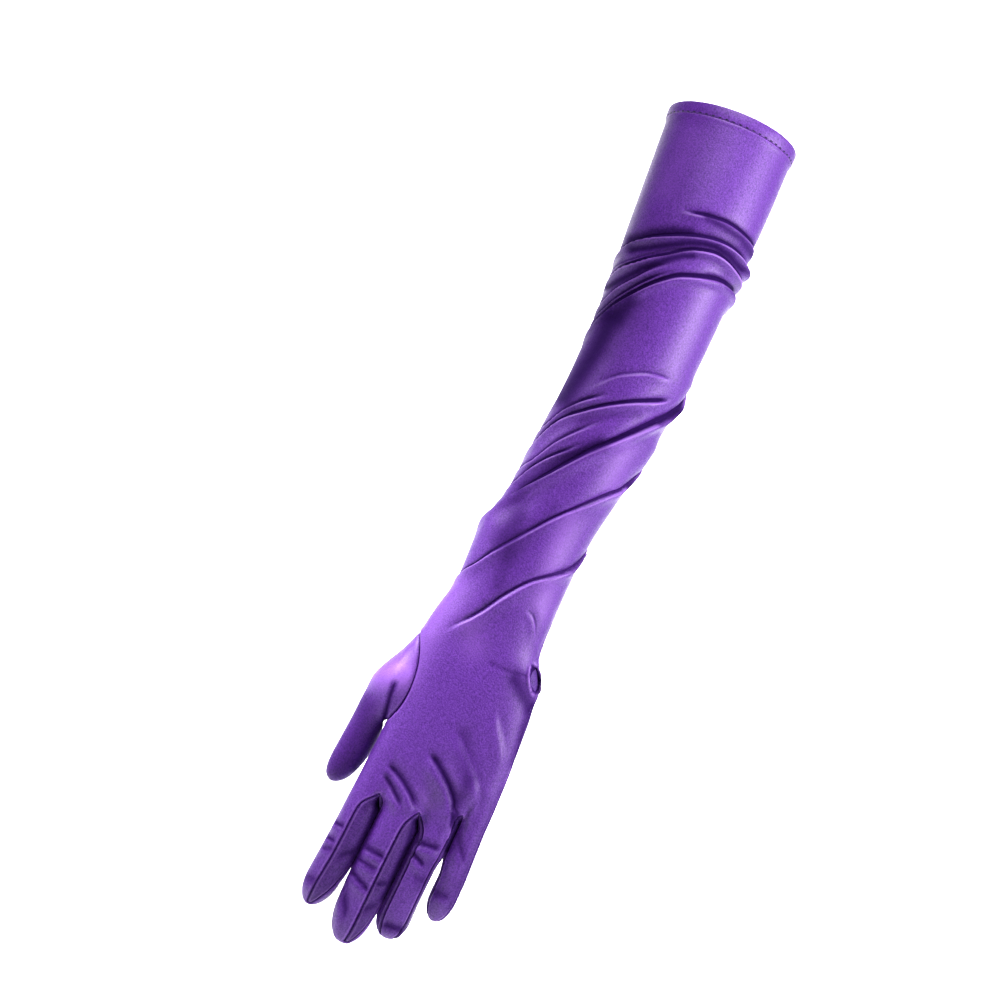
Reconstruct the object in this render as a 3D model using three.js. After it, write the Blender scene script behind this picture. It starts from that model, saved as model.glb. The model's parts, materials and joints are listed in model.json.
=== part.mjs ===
// Long satin opera glove for the left hand, shown full, as on an arm that hangs straight down.
// Millimetres, +Z up. The origin is the centre of the cuff's mouth, where the upper arm goes in.
// -Y is the back of the hand, +Y the palm, -X the thumb's side and +X the little finger's side.
//
// The glove is sewn from these cloth pieces, each one hollow wall with the wearer's room inside:
// sleeve, hand  the main cloth: sleeve, back and palm, with the fingers' backs and palm sides. It is cut in
//               two at the wrist, so that each part is simple enough to stay open in collision.
// thumb         the set-in thumb, joined to the hand along an oval seam
// fourchette_*  three forked side strips, each between two neighbouring fingers
// hem           the turned-in double edge at the cuff
import * as THREE from "three";

// Driving sizes
const WALL = 1.2; // one layer of cloth
const HEM_WALL = 2 * WALL; // the hem is folded double
const HEM_HEIGHT = 7;
const LEVEL_DIAGONALS = 1e-6; // diagonals this close in length count as equal
const SEAM_GAP = 0.2; // each cloth piece stops this far short of the seam line
const SHARPEST_CORNER = 0.3; // keeps the gap's corner point from running far where a seam turns back

// Columns of the mesh. A unit is one finger's back, palm side or side strip, and ten go round the hand.
const UNIT = 4;
const AROUND = 10 * UNIT;
const FIRST_DEG = -72; // the first column lies where the index finger's back begins
const FINGER_AROUND = 4 * UNIT;

// Sleeve and hand, seen from the back of the hand: outline from left to right, and the depth through.
// square is the power of the section's outline, 2 for an oval and more for a boxier one.
const SECTIONS = [
  { z: 12, left: -42, right: 41.5, y: 2, depth: 80, square: 2 },
  { z: -4, left: -42, right: 41, y: 0, depth: 80, square: 2 },
  { z: -14, left: -40.5, right: 41, y: -2, depth: 79, square: 2 },
  { z: -50, left: -36.5, right: 42.5, y: -8, depth: 77, square: 2 },
  { z: -100, left: -31.5, right: 43.5, y: -14, depth: 75, square: 2 },
  { z: -150, left: -27, right: 43.5, y: -15, depth: 71, square: 2 },
  { z: -200, left: -26.5, right: 40.5, y: -15, depth: 67, square: 2 },
  { z: -240, left: -28, right: 35, y: -14.5, depth: 63, square: 2 },
  { z: -262, left: -30, right: 32, y: -14, depth: 60, square: 2 },
  { z: -285, left: -35, right: 30.5, y: -14, depth: 57, square: 2 },
  { z: -322, left: -31.5, right: 31.5, y: -13, depth: 50, square: 2.05 },
  { z: -345, left: -35.5, right: 34, y: -12.5, depth: 45, square: 2.1 },
  { z: -362, left: -38, right: 43, y: -12, depth: 42, square: 2.2 },
  { z: -390, left: -36, right: 46.5, y: -11.5, depth: 39, square: 2.3 },
  { z: -420, left: -33.5, right: 49, y: -11, depth: 35, square: 2.4 },
  { z: -445, left: -34, right: 50.2, y: -11, depth: 30, square: 2.5 },
  { z: -470, left: -34.5, right: 51, y: -11, depth: 26, square: 2.5 },
];

// Rows of the mesh: how far the front of a row is raised, and how much its right side is lifted over
// its left, so that the rows run along the folds.
const ROW_TILTS = [
  { z: 0, rise: 6.5, slant: 3 },
  { z: -60, rise: 6, slant: 4 },
  { z: -86, rise: 5, slant: 10 },
  { z: -115, rise: 3, slant: 20 },
  { z: -160, rise: 1, slant: 38 },
  { z: -216, rise: 0, slant: 50 },
  { z: -262, rise: 0, slant: 44 },
  { z: -316, rise: 0, slant: 22 },
  { z: -348, rise: 0, slant: 4 },
  { z: -362, rise: 0, slant: 0 },
  { z: -470, rise: 0, slant: 0 },
];

// The oval hole that the thumb is sewn into, and the band of rows that it takes.
const THUMB_HOLE = { deg: -90, half_deg: 36, top: -362, bottom: -420, blend: 1.8 };
const KNUCKLES = -461;
const WRIST = -346; // height of the cut between sleeve and hand

// Bands of rows from the hem down to the knuckles. The smooth inner wall needs fewer rows.
const BANDS = [
  { to: -50, outer: 4, inner: 2 },
  { to: -128, outer: 15, inner: 3 },
  { to: -165, outer: 3, inner: 2 },
  { to: -320, outer: 24, inner: 5 },
  { to: WRIST, outer: 3, inner: 1 },
  { to: THUMB_HOLE.top, outer: 2, inner: 2 },
  { to: THUMB_HOLE.bottom, outer: 2 * UNIT, inner: 2 * UNIT },
  { to: KNUCKLES, outer: 5, inner: 5 },
];

// Main folds. Each ridge runs across the sleeve through three places: its two ends and its middle.
// Degrees go round the arm, 0 at the back of the hand's side, 90 at the right and -90 at the left.
// above and below are how far the ridge reaches towards the cuff and the hand.
const FOLDS = [
  { from_deg: -25, from_z: -72, mid_z: -65, to_deg: 100, to_z: -66, height: 2, above: 3, below: 6 },
  { from_deg: -85, from_z: -99, mid_z: -82, to_deg: 125, to_z: -84, height: 3.6, above: 3, below: 5 },
  { from_deg: -88, from_z: -121, mid_z: -90, to_deg: 80, to_z: -86, height: 2.4, above: 3, below: 4 },
  { from_deg: -90, from_z: -149, mid_z: -107, to_deg: 112, to_z: -98, height: 3.6, above: 3.5, below: 6 },
  { from_deg: -80, from_z: -209, mid_z: -175, to_deg: 65, to_z: -158, height: 1.6, above: 5, below: 4 },
  { from_deg: -90, from_z: -234, mid_z: -192, to_deg: 65, to_z: -164, height: 2.2, above: 6, below: 3 },
  { from_deg: -95, from_z: -276, mid_z: -216, to_deg: 135, to_z: -136, height: 4.4, above: 9, below: 3 },
  { from_deg: -85, from_z: -316, mid_z: -262, to_deg: 125, to_z: -193, height: 3.4, above: 10, below: 3 },
  { from_deg: -75, from_z: -356, mid_z: -309, to_deg: 110, to_z: -268, height: 2.6, above: 10, below: 3 },
  { from_deg: 150, from_z: -88, mid_z: -112, to_deg: 235, to_z: -140, height: 2, above: 6, below: 5 },
  { from_deg: 165, from_z: -225, mid_z: -258, to_deg: 262, to_z: -292, height: 2.4, above: 8, below: 4 },
];
const FOLD_FADE_DEG = 26; // a fold dies away over this much at each end

// Fingers, seen from the back of the hand. The corners of a section in degrees are the left and right
// edge of its back, then the right and left edge of its palm side, at the root and along the finger.
const FINGERS = [
  {
    crotch: -461, tip: -541.5, round: 19, root: [-80, 38, 125, 200], seams: [-80, -10, 95, 200],
    rows: [
      { z: -461, left: -34.3, right: -15, y: -11, depth: 21 },
      { z: -480, left: -34.5, right: -14.2, y: -10.5, depth: 20 },
      { z: -505, left: -35.4, right: -14.2, y: -8, depth: 18.5 },
      { z: -525, left: -36.8, right: -16.2, y: -5, depth: 17.5 },
      { z: -541, left: -37.4, right: -18, y: -2, depth: 16.5 },
    ],
  },
  {
    crotch: -461, tip: -553.5, round: 22, root: [-60, 50, 125, 235], seams: [-88, 16, 100, 192],
    rows: [
      { z: -461, left: -12.2, right: 10.6, y: -13, depth: 22 },
      { z: -480, left: -12.3, right: 11.4, y: -12.5, depth: 21 },
      { z: -510, left: -12.5, right: 12, y: -9.5, depth: 19.5 },
      { z: -553, left: -10.5, right: 12.8, y: -2.5, depth: 17.5 },
    ],
  },
  {
    crotch: -461, tip: -539.5, round: 17, root: [-52, 48, 132, 235], seams: [-38, 68, 142, 240],
    rows: [
      { z: -461, left: 13, right: 33.2, y: -12, depth: 20.5 },
      { z: -480, left: 13.4, right: 33.6, y: -11.5, depth: 20 },
      { z: -505, left: 14, right: 33.6, y: -8.5, depth: 18.5 },
      { z: -539, left: 13.2, right: 34.4, y: -2.5, depth: 16.5 },
    ],
  },
  {
    crotch: -451, tip: -517.5, round: 18, root: [-72, 45, 135, 240], seams: [-68, 45, 135, 222],
    rows: [
      { z: -451, left: 34, right: 50.6, y: -9.5, depth: 18 },
      { z: -470, left: 34.9, right: 51.6, y: -9, depth: 17.5 },
      { z: -490, left: 37, right: 53.4, y: -7, depth: 16.5 },
      { z: -517, left: 36.5, right: 54, y: -2, depth: 14.5 },
    ],
  },
];
const FINGER_RINGS = 9;
const LAST_RING = 0.6; // the tip's point lies this much of a ring's step past the last ring
const RING_EASE = 0.7; // share by which the rings crowd towards the root and the tip
const TIP_ROUNDNESS = 2.2; // power of a fingertip's outline, 2 for a round one
const CROTCH_SAG = 1.5; // the strip dips this far between a crotch's back and its palm side
const CROTCH_PULL = 0.55; // how far the last row of the hand has already turned into fingers
const ROOT_BLEND = 20; // length over which a finger leaves the hand's outline
const STRIP_BLEND = 10; // length over which the two sides of a side strip part below the crotch
const KNUCKLE_BLEND = 28; // length over which the hand's outline turns towards the fingers
const SEAM_SETTLE = 0.25; // share of the finger's length over which its seams draw apart
const SIDE_NARROWING = 0.7; // share of a side strip's width that is lost at the fingertip

// Thumb: each row is a section between a place on its outer edge and a place on its crotch's side.
const THUMB_ROWS = [
  { outer_x: -43.5, outer_z: -375, inner_x: -35.8, inner_z: -420.5, y: -8, depth: 29 },
  { outer_x: -50, outer_z: -391, inner_x: -36.2, inner_z: -423.5, y: -5, depth: 27 },
  { outer_x: -53, outer_z: -408, inner_x: -35.8, inner_z: -428.5, y: -1.5, depth: 24 },
  { outer_x: -53.5, outer_z: -425, inner_x: -34.6, inner_z: -436, y: 1, depth: 21.5 },
  { outer_x: -54.2, outer_z: -440, inner_x: -34.8, inner_z: -445.5, y: 2, depth: 20 },
  { outer_x: -54.8, outer_z: -453, inner_x: -37, inner_z: -454.5, y: 2.5, depth: 17.5 },
  { outer_x: -54.2, outer_z: -461, inner_x: -40, inner_z: -461.5, y: 3, depth: 14 },
  { outer_x: -52.2, outer_z: -465.6, inner_x: -43.6, inner_z: -466, y: 3.2, depth: 8.5 },
];
const THUMB_TIP = [-48, 3.4, -468];
const THUMB_SEAM_HALF_DEPTH = 14; // half the seam's size from the back of the hand to the palm

const SATIN_PURPLE = 0x5b3a9e;
const STRIP_PURPLE = 0x50318f;

const radians = THREE.MathUtils.degToRad;
const lerp = THREE.MathUtils.lerp;
const clamp01 = (t) => Math.min(1, Math.max(0, t));
const smooth = (t) => clamp01(t) ** 2 * (3 - 2 * clamp01(t));

// The value of every named column of a table at height z, on a smooth curve through the rows.
function at(table, z) {
  const last = table.length - 1;
  let i = 0;
  while (i < last - 1 && z < table[i + 1].z) i += 1;
  const [a, b] = [table[i], table[i + 1]];
  const before = table[Math.max(0, i - 1)];
  const after = table[Math.min(last, i + 2)];
  const step = a.z - b.z;
  const t = clamp01((a.z - z) / step);
  const row = {};
  for (const name of Object.keys(a)) {
    const slopeA = i === 0 ? (b[name] - a[name]) / step : (b[name] - before[name]) / (before.z - b.z);
    const slopeB = i + 2 > last ? (b[name] - a[name]) / step : (after[name] - a[name]) / (a.z - after.z);
    row[name] =
      (2 * t ** 3 - 3 * t ** 2 + 1) * a[name] +
      (t ** 3 - 2 * t ** 2 + t) * step * slopeA +
      (3 * t ** 2 - 2 * t ** 3) * b[name] +
      (t ** 3 - t ** 2) * step * slopeB;
  }
  return row;
}

// A place on an oval section. deg 0 faces the back of the hand, 90 the right and 180 the palm.
function onOval(section, deg, power = 2) {
  const s = Math.sin(radians(deg));
  const c = Math.cos(radians(deg));
  const bend = (v) => Math.sign(v) * Math.abs(v) ** (2 / power);
  const halfWidth = (section.right - section.left) / 2;
  return {
    x: (section.left + section.right) / 2 + halfWidth * bend(s),
    y: section.y - (section.depth / 2) * bend(c),
  };
}

// Height of the folds at a place on the sleeve.
function foldHeight(deg, z, radius) {
  let height = 0;
  for (const fold of FOLDS) {
    const middle = (fold.from_deg + fold.to_deg) / 2;
    const half = (fold.to_deg - fold.from_deg) / 2;
    const around = ((deg - middle + 540) % 360) - 180;
    const end = half - Math.abs(around);
    if (end <= 0) continue;
    const u = around / half;
    const tilt = (fold.to_z - fold.from_z) / 2;
    const bow = (fold.to_z + fold.from_z) / 2 - fold.mid_z;
    const slope = (tilt + 2 * bow * u) / (radians(half) * radius);
    const away = (z - (fold.mid_z + tilt * u + bow * u * u)) / Math.hypot(1, slope);
    const reach = away > 0 ? fold.above : fold.below;
    height += fold.height * smooth(end / FOLD_FADE_DEG) * Math.exp(-((away / reach) ** 2));
  }
  return height;
}

// One wall's surface: points by key, and four- or three-cornered faces that each belong to a cloth piece.
class Surface {
  constructor() {
    this.points = [];
    this.keys = new Map();
    this.faces = [];
    this.folds = [];
  }
  add(key, x, y, z, fold = 0) {
    this.keys.set(key, this.points.length);
    this.folds.push(fold);
    return this.points.push(new THREE.Vector3(x, y, z)) - 1;
  }
  face(piece, ...corners) {
    this.faces.push({ piece, corners });
  }
  // Faces between two rings of the same length, the upper one first, seen from outside.
  bridge(piece, upper, lower, from = 0, to = upper.length) {
    for (let j = from; j < to; j += 1) {
      const k = (j + 1) % upper.length;
      this.face(piece, upper[j], lower[j], lower[k], upper[k]);
    }
  }
}

const columnDeg = (j) => FIRST_DEG + (360 * j) / AROUND;

// The finger, and the corner segment and share along it, that a column of the hand runs into.
function fingersOfColumn(j) {
  const found = [];
  const share = (j % UNIT) / UNIT;
  const unit = Math.floor(j / UNIT) % 10;
  const segmentOf = (u) => {
    if (u < 4) return { finger: u, segment: 0 };
    if (u === 4) return { finger: 3, segment: 1 };
    if (u < 9) return { finger: 8 - u, segment: 2 };
    return { finger: 0, segment: 3 };
  };
  found.push({ ...segmentOf(unit), share });
  if (share === 0) found.push({ ...segmentOf((unit + 9) % 10), share: 1 });
  return found;
}

// Where a column lies on a finger, in degrees. The side strips narrow towards the fingertip.
function fingerDeg(index, segment, share, along) {
  const settled = smooth(along / SEAM_SETTLE);
  const [a, b, c, d] = FINGERS[index].root.map((deg, i) => lerp(deg, FINGERS[index].seams[i], settled));
  const corners = [a, b, c, d, a + 360];
  const narrow = 1 - SIDE_NARROWING * clamp01(along) ** 2;
  if (index !== 3) corners[2] = b + (c - b) * narrow;
  if (index !== 0) corners[3] = a + 360 - (a + 360 - d) * narrow;
  return lerp(corners[segment], corners[segment + 1], share);
}

// A finger's section at height z, rounded off towards the tip.
function fingerSection(finger, z) {
  const row = at(finger.rows, z);
  const into = clamp01((finger.tip + finger.round - z) / finger.round);
  const taper = Math.sqrt(Math.max(0, 1 - into ** TIP_ROUNDNESS));
  const middle = (row.left + row.right) / 2;
  return {
    left: lerp(middle, row.left, taper),
    right: lerp(middle, row.right, taper),
    y: row.y,
    depth: row.depth * taper,
  };
}

// Height of the lowest row of the hand at a column: the little finger's crotch lies higher.
function knuckleHeight(j) {
  const unit = j / UNIT;
  const toLittle = Math.min(clamp01(unit - 2), clamp01(7 - unit));
  return lerp(FINGERS[0].crotch, FINGERS[3].crotch, smooth(toLittle));
}

// Draws the columns and rows round the thumb's square block of the mesh onto its oval seam.
function roundThumbHole(deg, z) {
  const middle = (THUMB_HOLE.top + THUMB_HOLE.bottom) / 2;
  const half = (THUMB_HOLE.top - THUMB_HOLE.bottom) / 2;
  const p = (((deg - THUMB_HOLE.deg + 540) % 360) - 180) / THUMB_HOLE.half_deg;
  const q = (z - middle) / half;
  const m = Math.max(Math.abs(p), Math.abs(q));
  if (m >= THUMB_HOLE.blend || m === 0) return { deg, z };
  const k = lerp(m / Math.hypot(p, q), 1, smooth((m - 1) / (THUMB_HOLE.blend - 1)));
  return { deg: THUMB_HOLE.deg + p * k * THUMB_HOLE.half_deg, z: middle + q * k * half };
}

// Heights of the rows, cuff to knuckles, for one wall. Rows are named from the knuckles up.
function rowHeights(wall, top) {
  const heights = [top];
  for (const band of BANDS) {
    const from = heights[heights.length - 1];
    for (let i = 1; i <= band[wall]; i += 1) heights.push(lerp(from, band.to, i / band[wall]));
  }
  return heights;
}

// A place on the sleeve or hand for a column and a row's height.
function onSleeve(j, height, folded) {
  const tilt = at(ROW_TILTS, height);
  let deg = columnDeg(j);
  let z = height + tilt.rise * Math.cos(radians(deg)) + tilt.slant * Math.sin(radians(deg));
  const low = clamp01((THUMB_HOLE.bottom - height) / (THUMB_HOLE.bottom - KNUCKLES));
  z += low * (knuckleHeight(j) - KNUCKLES);
  ({ deg, z } = roundThumbHole(deg, z));
  const section = at(SECTIONS, z);
  const place = onOval(section, deg, section.square);
  const turn = CROTCH_PULL * smooth((KNUCKLES + KNUCKLE_BLEND - height) / KNUCKLE_BLEND);
  if (turn > 0) {
    const targets = fingersOfColumn(j).map(({ finger, segment, share }) =>
      onOval(fingerSection(FINGERS[finger], FINGERS[finger].crotch), fingerDeg(finger, segment, share, 0)),
    );
    const mean = (name) => targets.reduce((sum, t) => sum + t[name], 0) / targets.length;
    place.x = lerp(place.x, mean("x"), turn);
    place.y = lerp(place.y, mean("y"), turn);
  }
  const radius = (section.right - section.left + section.depth) / 4;
  return { ...place, z, fold: folded ? foldHeight(deg, z, radius) : 0 };
}

function addSleeve(surface, wall, folded) {
  const stitchLine = -HEM_HEIGHT;
  const heights = [0, ...rowHeights(wall, stitchLine)];
  const rings = heights.map((height, i) => {
    const row = i < 2 ? `cuff ${i}` : heights.length - i;
    return Array.from({ length: AROUND }, (_, j) => {
      const { x, y, z, fold } = onSleeve(j, height, folded);
      return surface.add(`sleeve ${row} ${j}`, x, y, z, fold);
    });
  });
  const holeTop = heights.indexOf(THUMB_HOLE.top);
  const holeBottom = heights.indexOf(THUMB_HOLE.bottom);
  const wrist = heights.indexOf(WRIST);
  const pieceOfRow = (i) => (i === 0 ? "hem" : i < wrist ? "sleeve" : "hand");
  const fullTurn = (deg) => Math.round((((deg - FIRST_DEG + 360) % 360) * AROUND) / 360);
  const holeLeft = fullTurn(THUMB_HOLE.deg - THUMB_HOLE.half_deg);
  const holeRight = fullTurn(THUMB_HOLE.deg + THUMB_HOLE.half_deg);
  const acrossHole = (j) => (j >= holeLeft ? j < AROUND : j < holeRight);
  for (let i = 0; i + 1 < rings.length; i += 1) {
    for (let j = 0; j < AROUND; j += 1) {
      if (i >= holeTop && i < holeBottom && acrossHole(j)) continue;
      surface.bridge(pieceOfRow(i), rings[i], rings[i + 1], j, j + 1);
    }
  }
  // The hole's edge, seen from outside: over its top, down its right side and back up its left side.
  const wrap = (j) => ((j % AROUND) + AROUND) % AROUND;
  const width = wrap(holeRight - holeLeft);
  const edge = [];
  for (let j = 0; j < width; j += 1) edge.push(rings[holeTop][wrap(holeLeft + j)]);
  for (let i = holeTop; i < holeBottom; i += 1) edge.push(rings[i][holeRight]);
  for (let j = 0; j < width; j += 1) edge.push(rings[holeBottom][wrap(holeRight - j)]);
  for (let i = holeBottom; i > holeTop; i -= 1) edge.push(rings[i][holeLeft]);
  return { knuckles: rings[rings.length - 1], edge };
}

// The saddle between two fingers, from the hand's back to its palm side.
function addCrotch(surface, index, back, palm) {
  const [a, b] = [surface.points[back], surface.points[palm]];
  const ids = [back];
  for (let i = 1; i < UNIT; i += 1) {
    const t = i / UNIT;
    const place = a.clone().lerp(b, t);
    place.z -= CROTCH_SAG * Math.sin(Math.PI * t);
    ids.push(surface.add(`crotch ${index} ${i}`, ...place));
  }
  return [...ids, palm];
}

function addFinger(surface, index, root, sidePieces) {
  const finger = FINGERS[index];
  const start = root.map((id) => surface.points[id].clone());
  let upper = root;
  for (let k = 1; k <= FINGER_RINGS; k += 1) {
    const step = k / (FINGER_RINGS + LAST_RING);
    const along = lerp(step, smooth(step), RING_EASE);
    const ring = root.map((_, m) => {
      const z = lerp(start[m].z, finger.tip, along);
      const segment = Math.floor(m / UNIT);
      const place = onOval(fingerSection(finger, z), fingerDeg(index, segment, (m % UNIT) / UNIT, along));
      const below = start[m].z - z;
      const inStrip = m % UNIT !== 0 && segment % 2 === 1;
      const free = inStrip ? smooth(below / STRIP_BLEND) : lerp(CROTCH_PULL, 1, smooth(below / ROOT_BLEND));
      const x = lerp(start[m].x, place.x, free);
      const y = lerp(start[m].y, place.y, free);
      return surface.add(`finger ${index} ${k} ${m}`, x, y, z);
    });
    for (let m = 0; m < FINGER_AROUND; m += 1) {
      surface.bridge(sidePieces[Math.floor(m / UNIT)] ?? "hand", upper, ring, m, m + 1);
    }
    upper = ring;
  }
  const tip = at(finger.rows, finger.tip);
  const pole = surface.add(`finger ${index} tip`, (tip.left + tip.right) / 2, tip.y, finger.tip);
  upper.forEach((id, m) => surface.face("hand", id, pole, upper[(m + 1) % upper.length]));
}

function addThumb(surface, edge) {
  const start = edge.map((id) => surface.points[id].clone());
  const middleZ = (THUMB_HOLE.top + THUMB_HOLE.bottom) / 2;
  const halfZ = (THUMB_HOLE.top - THUMB_HOLE.bottom) / 2;
  const middle = at(SECTIONS, middleZ);
  // The turn of each place on the seam: 0 at its top, 90 on the palm's side.
  const turnOf = ({ y, z }) => Math.atan2((y - middle.y) / THUMB_SEAM_HALF_DEPTH, (z - middleZ) / halfZ);
  const turns = start.map(turnOf);
  let upper = edge;
  THUMB_ROWS.forEach((row, k) => {
    const ring = turns.map((turn, m) => {
      const t = (1 - Math.cos(turn)) / 2;
      const x = lerp(row.outer_x, row.inner_x, t);
      const z = lerp(row.outer_z, row.inner_z, t);
      return surface.add(`thumb ${k} ${m}`, x, row.y + (row.depth / 2) * Math.sin(turn), z);
    });
    surface.bridge("thumb", upper, ring);
    upper = ring;
  });
  const pole = surface.add("thumb tip", ...THUMB_TIP);
  upper.forEach((id, m) => surface.face("thumb", id, pole, upper[(m + 1) % upper.length]));
}

const STRIPS = ["fourchette_index_middle", "fourchette_middle_ring", "fourchette_ring_little"];

// The whole glove as one surface, before it is cut into its cloth pieces.
function gloveSurface(wall, folded) {
  const surface = new Surface();
  const { knuckles, edge } = addSleeve(surface, wall, folded);
  const corner = (unit) => knuckles[unit * UNIT];
  const crotches = STRIPS.map((_, i) => addCrotch(surface, i, corner(i + 1), corner(8 - i)));
  const span = (from) => Array.from({ length: UNIT }, (_, j) => knuckles[(from * UNIT + j) % AROUND]);
  FINGERS.forEach((_, i) => {
    const right = i < 3 ? crotches[i].slice(0, UNIT) : span(4);
    const left = i > 0 ? [...crotches[i - 1]].reverse().slice(0, UNIT) : span(9);
    const root = [...span(i), ...right, ...span(8 - i), ...left];
    addFinger(surface, i, root, [undefined, STRIPS[i], undefined, STRIPS[i - 1]]);
  });
  addThumb(surface, edge);
  return surface;
}

// Outward directions at the points, from the faces round each.
function outwards(surface) {
  const sums = surface.points.map(() => new THREE.Vector3());
  for (const { corners } of surface.faces) {
    const [a, b, c, d] = corners.map((id) => surface.points[id]);
    const across = (d ?? c).clone().sub(b);
    const down = c.clone().sub(a);
    const normal = corners.length === 4 ? down.cross(across) : b.clone().sub(a).cross(c.clone().sub(a));
    normal.normalize();
    for (const id of corners) sums[id].add(normal);
  }
  return sums.map((sum) => sum.normalize());
}

// Cuts a face into triangles along its shorter diagonal, the same way in both walls.
function splitFace(surface, corners) {
  if (corners.length === 3) return [[0, 1, 2]];
  const [a, b, c, d] = corners.map((id) => surface.points[id]);
  if (a.distanceTo(c) <= b.distanceTo(d) + LEVEL_DIAGONALS) return [[0, 1, 2], [0, 2, 3]];
  return [[0, 1, 3], [1, 2, 3]];
}

// The edge of a cloth piece: pairs of points, each with the piece's cloth on its left.
function pieceEdge(faces) {
  const ends = new Map();
  for (const { corners } of faces) {
    corners.forEach((id, i) => {
      const next = corners[(i + 1) % corners.length];
      if (!ends.delete(`${next} ${id}`)) ends.set(`${id} ${next}`, [id, next]);
    });
  }
  return [...ends.values()];
}

// How far each point of the edge moves along the cloth, to leave the seam's gap on both sides of it.
function seamInsets(wall, edge) {
  const across = new Map();
  for (const [a, b] of edge) {
    const along = wall.points[b].clone().sub(wall.points[a]);
    for (const id of [a, b]) {
      const side = wall.normals[id].clone().cross(along).normalize();
      across.set(id, [...(across.get(id) ?? []), side]);
    }
  }
  const inset = ([one, other]) => {
    const sharpness = Math.max(SHARPEST_CORNER, 1 + one.dot(other));
    return one.clone().add(other).multiplyScalar(SEAM_GAP / sharpness);
  };
  return new Map([...across].map(([id, sides]) => [id, inset(sides)]));
}

// Cuts one cloth piece out of the two walls' surfaces and closes its edges.
function clothPiece(name, outer, inner) {
  const points = [];
  const triangles = [];
  const places = new Map();
  const edges = [outer, inner].map((wall, side) => {
    const faces = wall.surface.faces.filter((face) => face.piece === name);
    const edge = pieceEdge(faces);
    const insets = seamInsets(wall, edge);
    for (const id of new Set(faces.flatMap((face) => face.corners))) {
      const point = wall.points[id].clone().add(insets.get(id) ?? new THREE.Vector3());
      places.set(`${side} ${id}`, points.push(point) - 1);
    }
    for (const { corners } of faces) {
      const ids = corners.map((id) => places.get(`${side} ${id}`));
      for (const [a, b, c] of splitFace(wall.surface, corners)) {
        triangles.push(side === 0 ? [ids[a], ids[b], ids[c]] : [ids[c], ids[b], ids[a]]);
      }
    }
    return edge;
  });
  const keyOf = new Map([...outer.surface.keys].map(([key, id]) => [id, key]));
  const innerIds = inner.surface.keys;
  for (const [a, b] of edges[0]) {
    const [outerA, outerB] = [a, b].map((id) => places.get(`0 ${id}`));
    const [innerA, innerB] = [a, b].map((id) => places.get(`1 ${innerIds.get(keyOf.get(id))}`));
    // Both pieces at a seam split this face the same way, so that they can't cross where it twists.
    if (a < b) triangles.push([outerB, outerA, innerB], [outerA, innerA, innerB]);
    else triangles.push([outerB, outerA, innerA], [outerB, innerA, innerB]);
  }
  const geometry = new THREE.BufferGeometry().setFromPoints(points);
  geometry.setIndex(triangles.flat());
  geometry.computeVertexNormals();
  return geometry;
}

// A wall's surface moved along its outward directions: out by its folds, or in by the cloth's thickness.
function wallOf(surface, depth) {
  const normals = outwards(surface);
  const moved = (point, id) => point.clone().addScaledVector(normals[id], surface.folds[id] - depth);
  const points = surface.points.map(moved);
  return { surface, points, normals };
}

const folded = gloveSurface("outer", true);
const plain = gloveSurface("inner", false);
const outside = wallOf(folded, 0);
const inside = wallOf(plain, WALL);
const hemInside = wallOf(plain, HEM_WALL);

const glove = new THREE.Group();
glove.name = "opera_glove";
const satin = { roughness: 0.38, metalness: 0.1 };
for (const name of ["hem", "sleeve", "hand", "thumb", ...STRIPS]) {
  const color = name.startsWith("fourchette") ? STRIP_PURPLE : SATIN_PURPLE;
  const geometry = clothPiece(name, outside, name === "hem" ? hemInside : inside);
  const mesh = new THREE.Mesh(geometry, new THREE.MeshStandardMaterial({ color, ...satin }));
  mesh.name = name;
  glove.add(mesh);
}

export default glove;
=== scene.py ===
"""Long satin opera glove for the left hand, shown full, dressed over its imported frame.

Tables are in millimetres and degrees, and Blender's objects in metres. The origin is the centre of the
cuff's mouth, with -Y out of the back of the hand, +Y out of the palm and -X towards the thumb. Degrees go
round the arm: 0 faces the back of the hand, 90 the right and -90 the left.
"""
import json
import math
from types import SimpleNamespace

import bpy
import numpy as np
from bpy.props import FloatProperty, FloatVectorProperty, IntProperty, PointerProperty
from mathutils import Matrix, Vector, kdtree

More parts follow.
